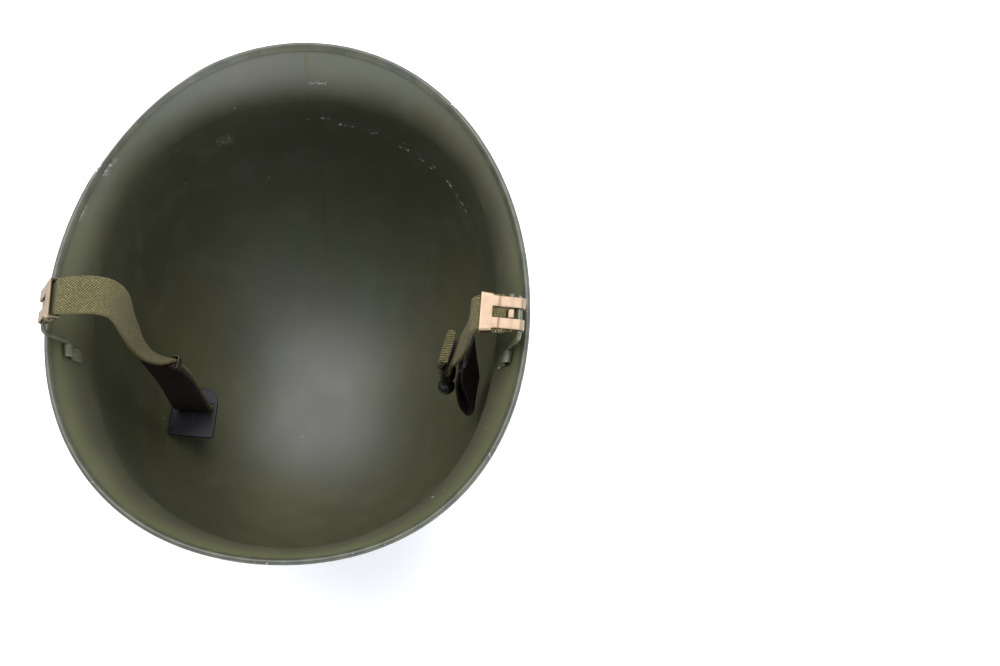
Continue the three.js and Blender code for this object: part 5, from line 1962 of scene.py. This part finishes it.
@dataclass
class Studio:
    """Pale floor, soft lights and the camera at the photograph's angle."""

    eye: Place = (145.055, -332.417, 1243.608)
    aim: Place = (102.737, 8.0, 100.0)
    roll: float = 0.033
    lens: float = 81.391
    light_colour: str = "#eff2ff"
    lights: tuple[Softbox, ...] = (
        Softbox("key_softbox", -6.0, 70.0, 2.0, 84.0), Softbox("low_softbox", 160.0, 30.0, 1.0, 3.0),
        Softbox("left_softbox", -70.0, 46.0, 1.1, 17.0), Softbox("right_softbox", 130.0, 38.0, 1.1, 9.0))
    light_distance: float = 2.1
    light_aim: Place = (0.0, 0.0, 0.1)
    floor_half: float = 3.0
    floor_drop: float = 0.0003
    paper_colour: str = "#eef3ff"
    paper_from: Place = (0.75, -0.65, 0.0)  # where the paper is nearest
    paper_lean: float = 0.36
    paper_edge: Spot = (0.3, 0.6)  # sine of the elevation where the paper ends
    paper_strength: float = 2.8
    room_strength: float = 0.3

    def build_camera(self) -> None:
        """Place the camera."""
        eye, aim = Vector(self.eye), Vector(self.aim)
        back = (eye - aim).normalized()
        level = Vector((0, 1, 0)).cross(back).normalized()
        upright = back.cross(level)
        right = math.cos(self.roll) * level + math.sin(self.roll) * upright
        up = -math.sin(self.roll) * level + math.cos(self.roll) * upright
        data = bpy.data.cameras.new("camera")
        data.lens, data.sensor_width = self.lens, 36.0
        camera = new_object("camera", data)
        placed = Matrix((right, up, back)).transposed().to_4x4()
        placed.translation = eye * MM
        camera.matrix_world = placed
        bpy.context.scene.camera = camera

    def build_floor(self) -> None:
        """Lay the floor."""
        corners = np.array([(-1, -1, 0), (1, -1, 0), (1, 1, 0), (-1, 1, 0)]) * self.floor_half
        floor = mesh_of("floor", corners, [(0, 1, 2, 3)])
        floor.location.z = -self.floor_drop
        floor.data.materials.append(FloorPaper().build())

    def build_light(self, box: Softbox) -> None:
        """Hang one softbox.

        Args:
            box: what it is and where it hangs.
        """
        a, e = math.radians(box.azimuth), math.radians(box.elevation)
        way = Vector((math.sin(a) * math.cos(e), math.cos(a) * math.cos(e), math.sin(e)))
        place = way * self.light_distance
        data = bpy.data.lights.new(box.name, "AREA")
        data.shape, data.size, data.energy = "SQUARE", box.size, box.power
        data.color = linear(self.light_colour)[:3]
        lamp = new_object(box.name, data)
        lamp.location = place
        lamp.rotation_mode = "QUATERNION"
        lamp.rotation_quaternion = (Vector(self.light_aim) - place).to_track_quat("-Z", "Y")

    def build_surround(self) -> None:
        """Stand white paper all round, low down, with a dimmer room above it."""
        world = bpy.data.worlds.new("studio")
        world.use_nodes = True
        tree = world.node_tree
        known = lay_out(tree, {"view": add(tree, "ShaderNodeTexCoord").outputs["Generated"]}, [
            ("up", "Z", "view"), ("height", "EASE", "up", *self.paper_edge),
            ("lean", "DOT", "view", self.paper_from),
            ("strength", "MULTIPLY_ADD", "height", self.room_strength - self.paper_strength,
             self.paper_strength),
            ("side", "MULTIPLY_ADD", "lean", self.paper_lean, 1.0),
            ("strength", "MULTIPLY", "strength", "side")])
        shade = tree.nodes["Background"]
        shade.inputs["Color"].default_value = linear(self.paper_colour)
        tree.links.new(known["strength"], shade.inputs["Strength"])
        bpy.context.scene.world = world

    def build(self) -> None:
        """Build the studio."""
        self.build_camera()
        self.build_floor()
        self.build_surround()
        bpy.context.scene.view_settings.view_transform = "Standard"
        for box in self.lights:
            self.build_light(box)


def main() -> None:
    """Build the helmet in order, then the studio."""
    logging.basicConfig(level=logging.INFO, format="%(name)s: %(message)s")
    wire = EdgeEnamel("olive_enamel_wire", "#52523d", "#3d3e29", "#9a9884", "#46472f", 0.38, 0.62).build()
    # the left clip's brass is a darker copy of the right clip's: painted shade, as that clip faces the wall
    dull = StampedBrass("tarnished_brass", "#6f5836", "#594328", "#8a7757", "#2b2218", 0.46, 0.5).build()
    dark = StampedBrass("blackened_brass", "#3e3427", "#2a221a", "#6b5d48", "#2a221a", 0.36, 0.45).build()
    bright = StampedBrass("bright_brass", "#8b765d", "#876b54", "#998669", "#33291c", 0.44, 0.5).build()
    web, leather = WovenCotton().build(), StrapLeather().build()
    polished = BlackenedSteel("polished_blackened_steel", "#1a1918", "#3c3a38", 0.15, 0.9).build()
    thread = LinenThread("khaki_thread", "#8f8864", "#514b30").build()
    dark_thread = LinenThread("black_thread", "#2c2723", "#15110e").build()

    SteelShell().build(ShellEnamel().build())
    RimBand().build(EdgeEnamel().build())
    left = StrapLoop(Side.LEFT, -15.8, 168.0, 19.5)
    right = StrapLoop(Side.RIGHT, -13.6, 167.5, 12.5)
    for loop in (left, right):
        loop.build_wire(wire)
        for end in End:
            loop.build_bracket(end, wire)
    left_clip, right_clip = left.clip_frame(0.0, 62.0, 0.0), right.clip_frame(-0.9, 2.0, 2.5)
    StrapClip(Side.LEFT, left_clip).build("worn_brass", dull)
    StrapClip(Side.RIGHT, right_clip).build("bright_brass", bright)
    left_strap = LeftHalfStrap(left_clip)
    line = left_strap.build_webs(web, leather, dark_thread)
    left_strap.build_keeper(line, dark)
    left_strap.build_plate(BlackenedSteel().build())
    right_strap = RightHalfStrap(right_clip)
    right_strap.build_web(web, thread)
    right_strap.build_leather(leather, dark_thread)
    right_strap.build_stud(polished)
    Studio().build()


if __name__ == "__main__":
    main()
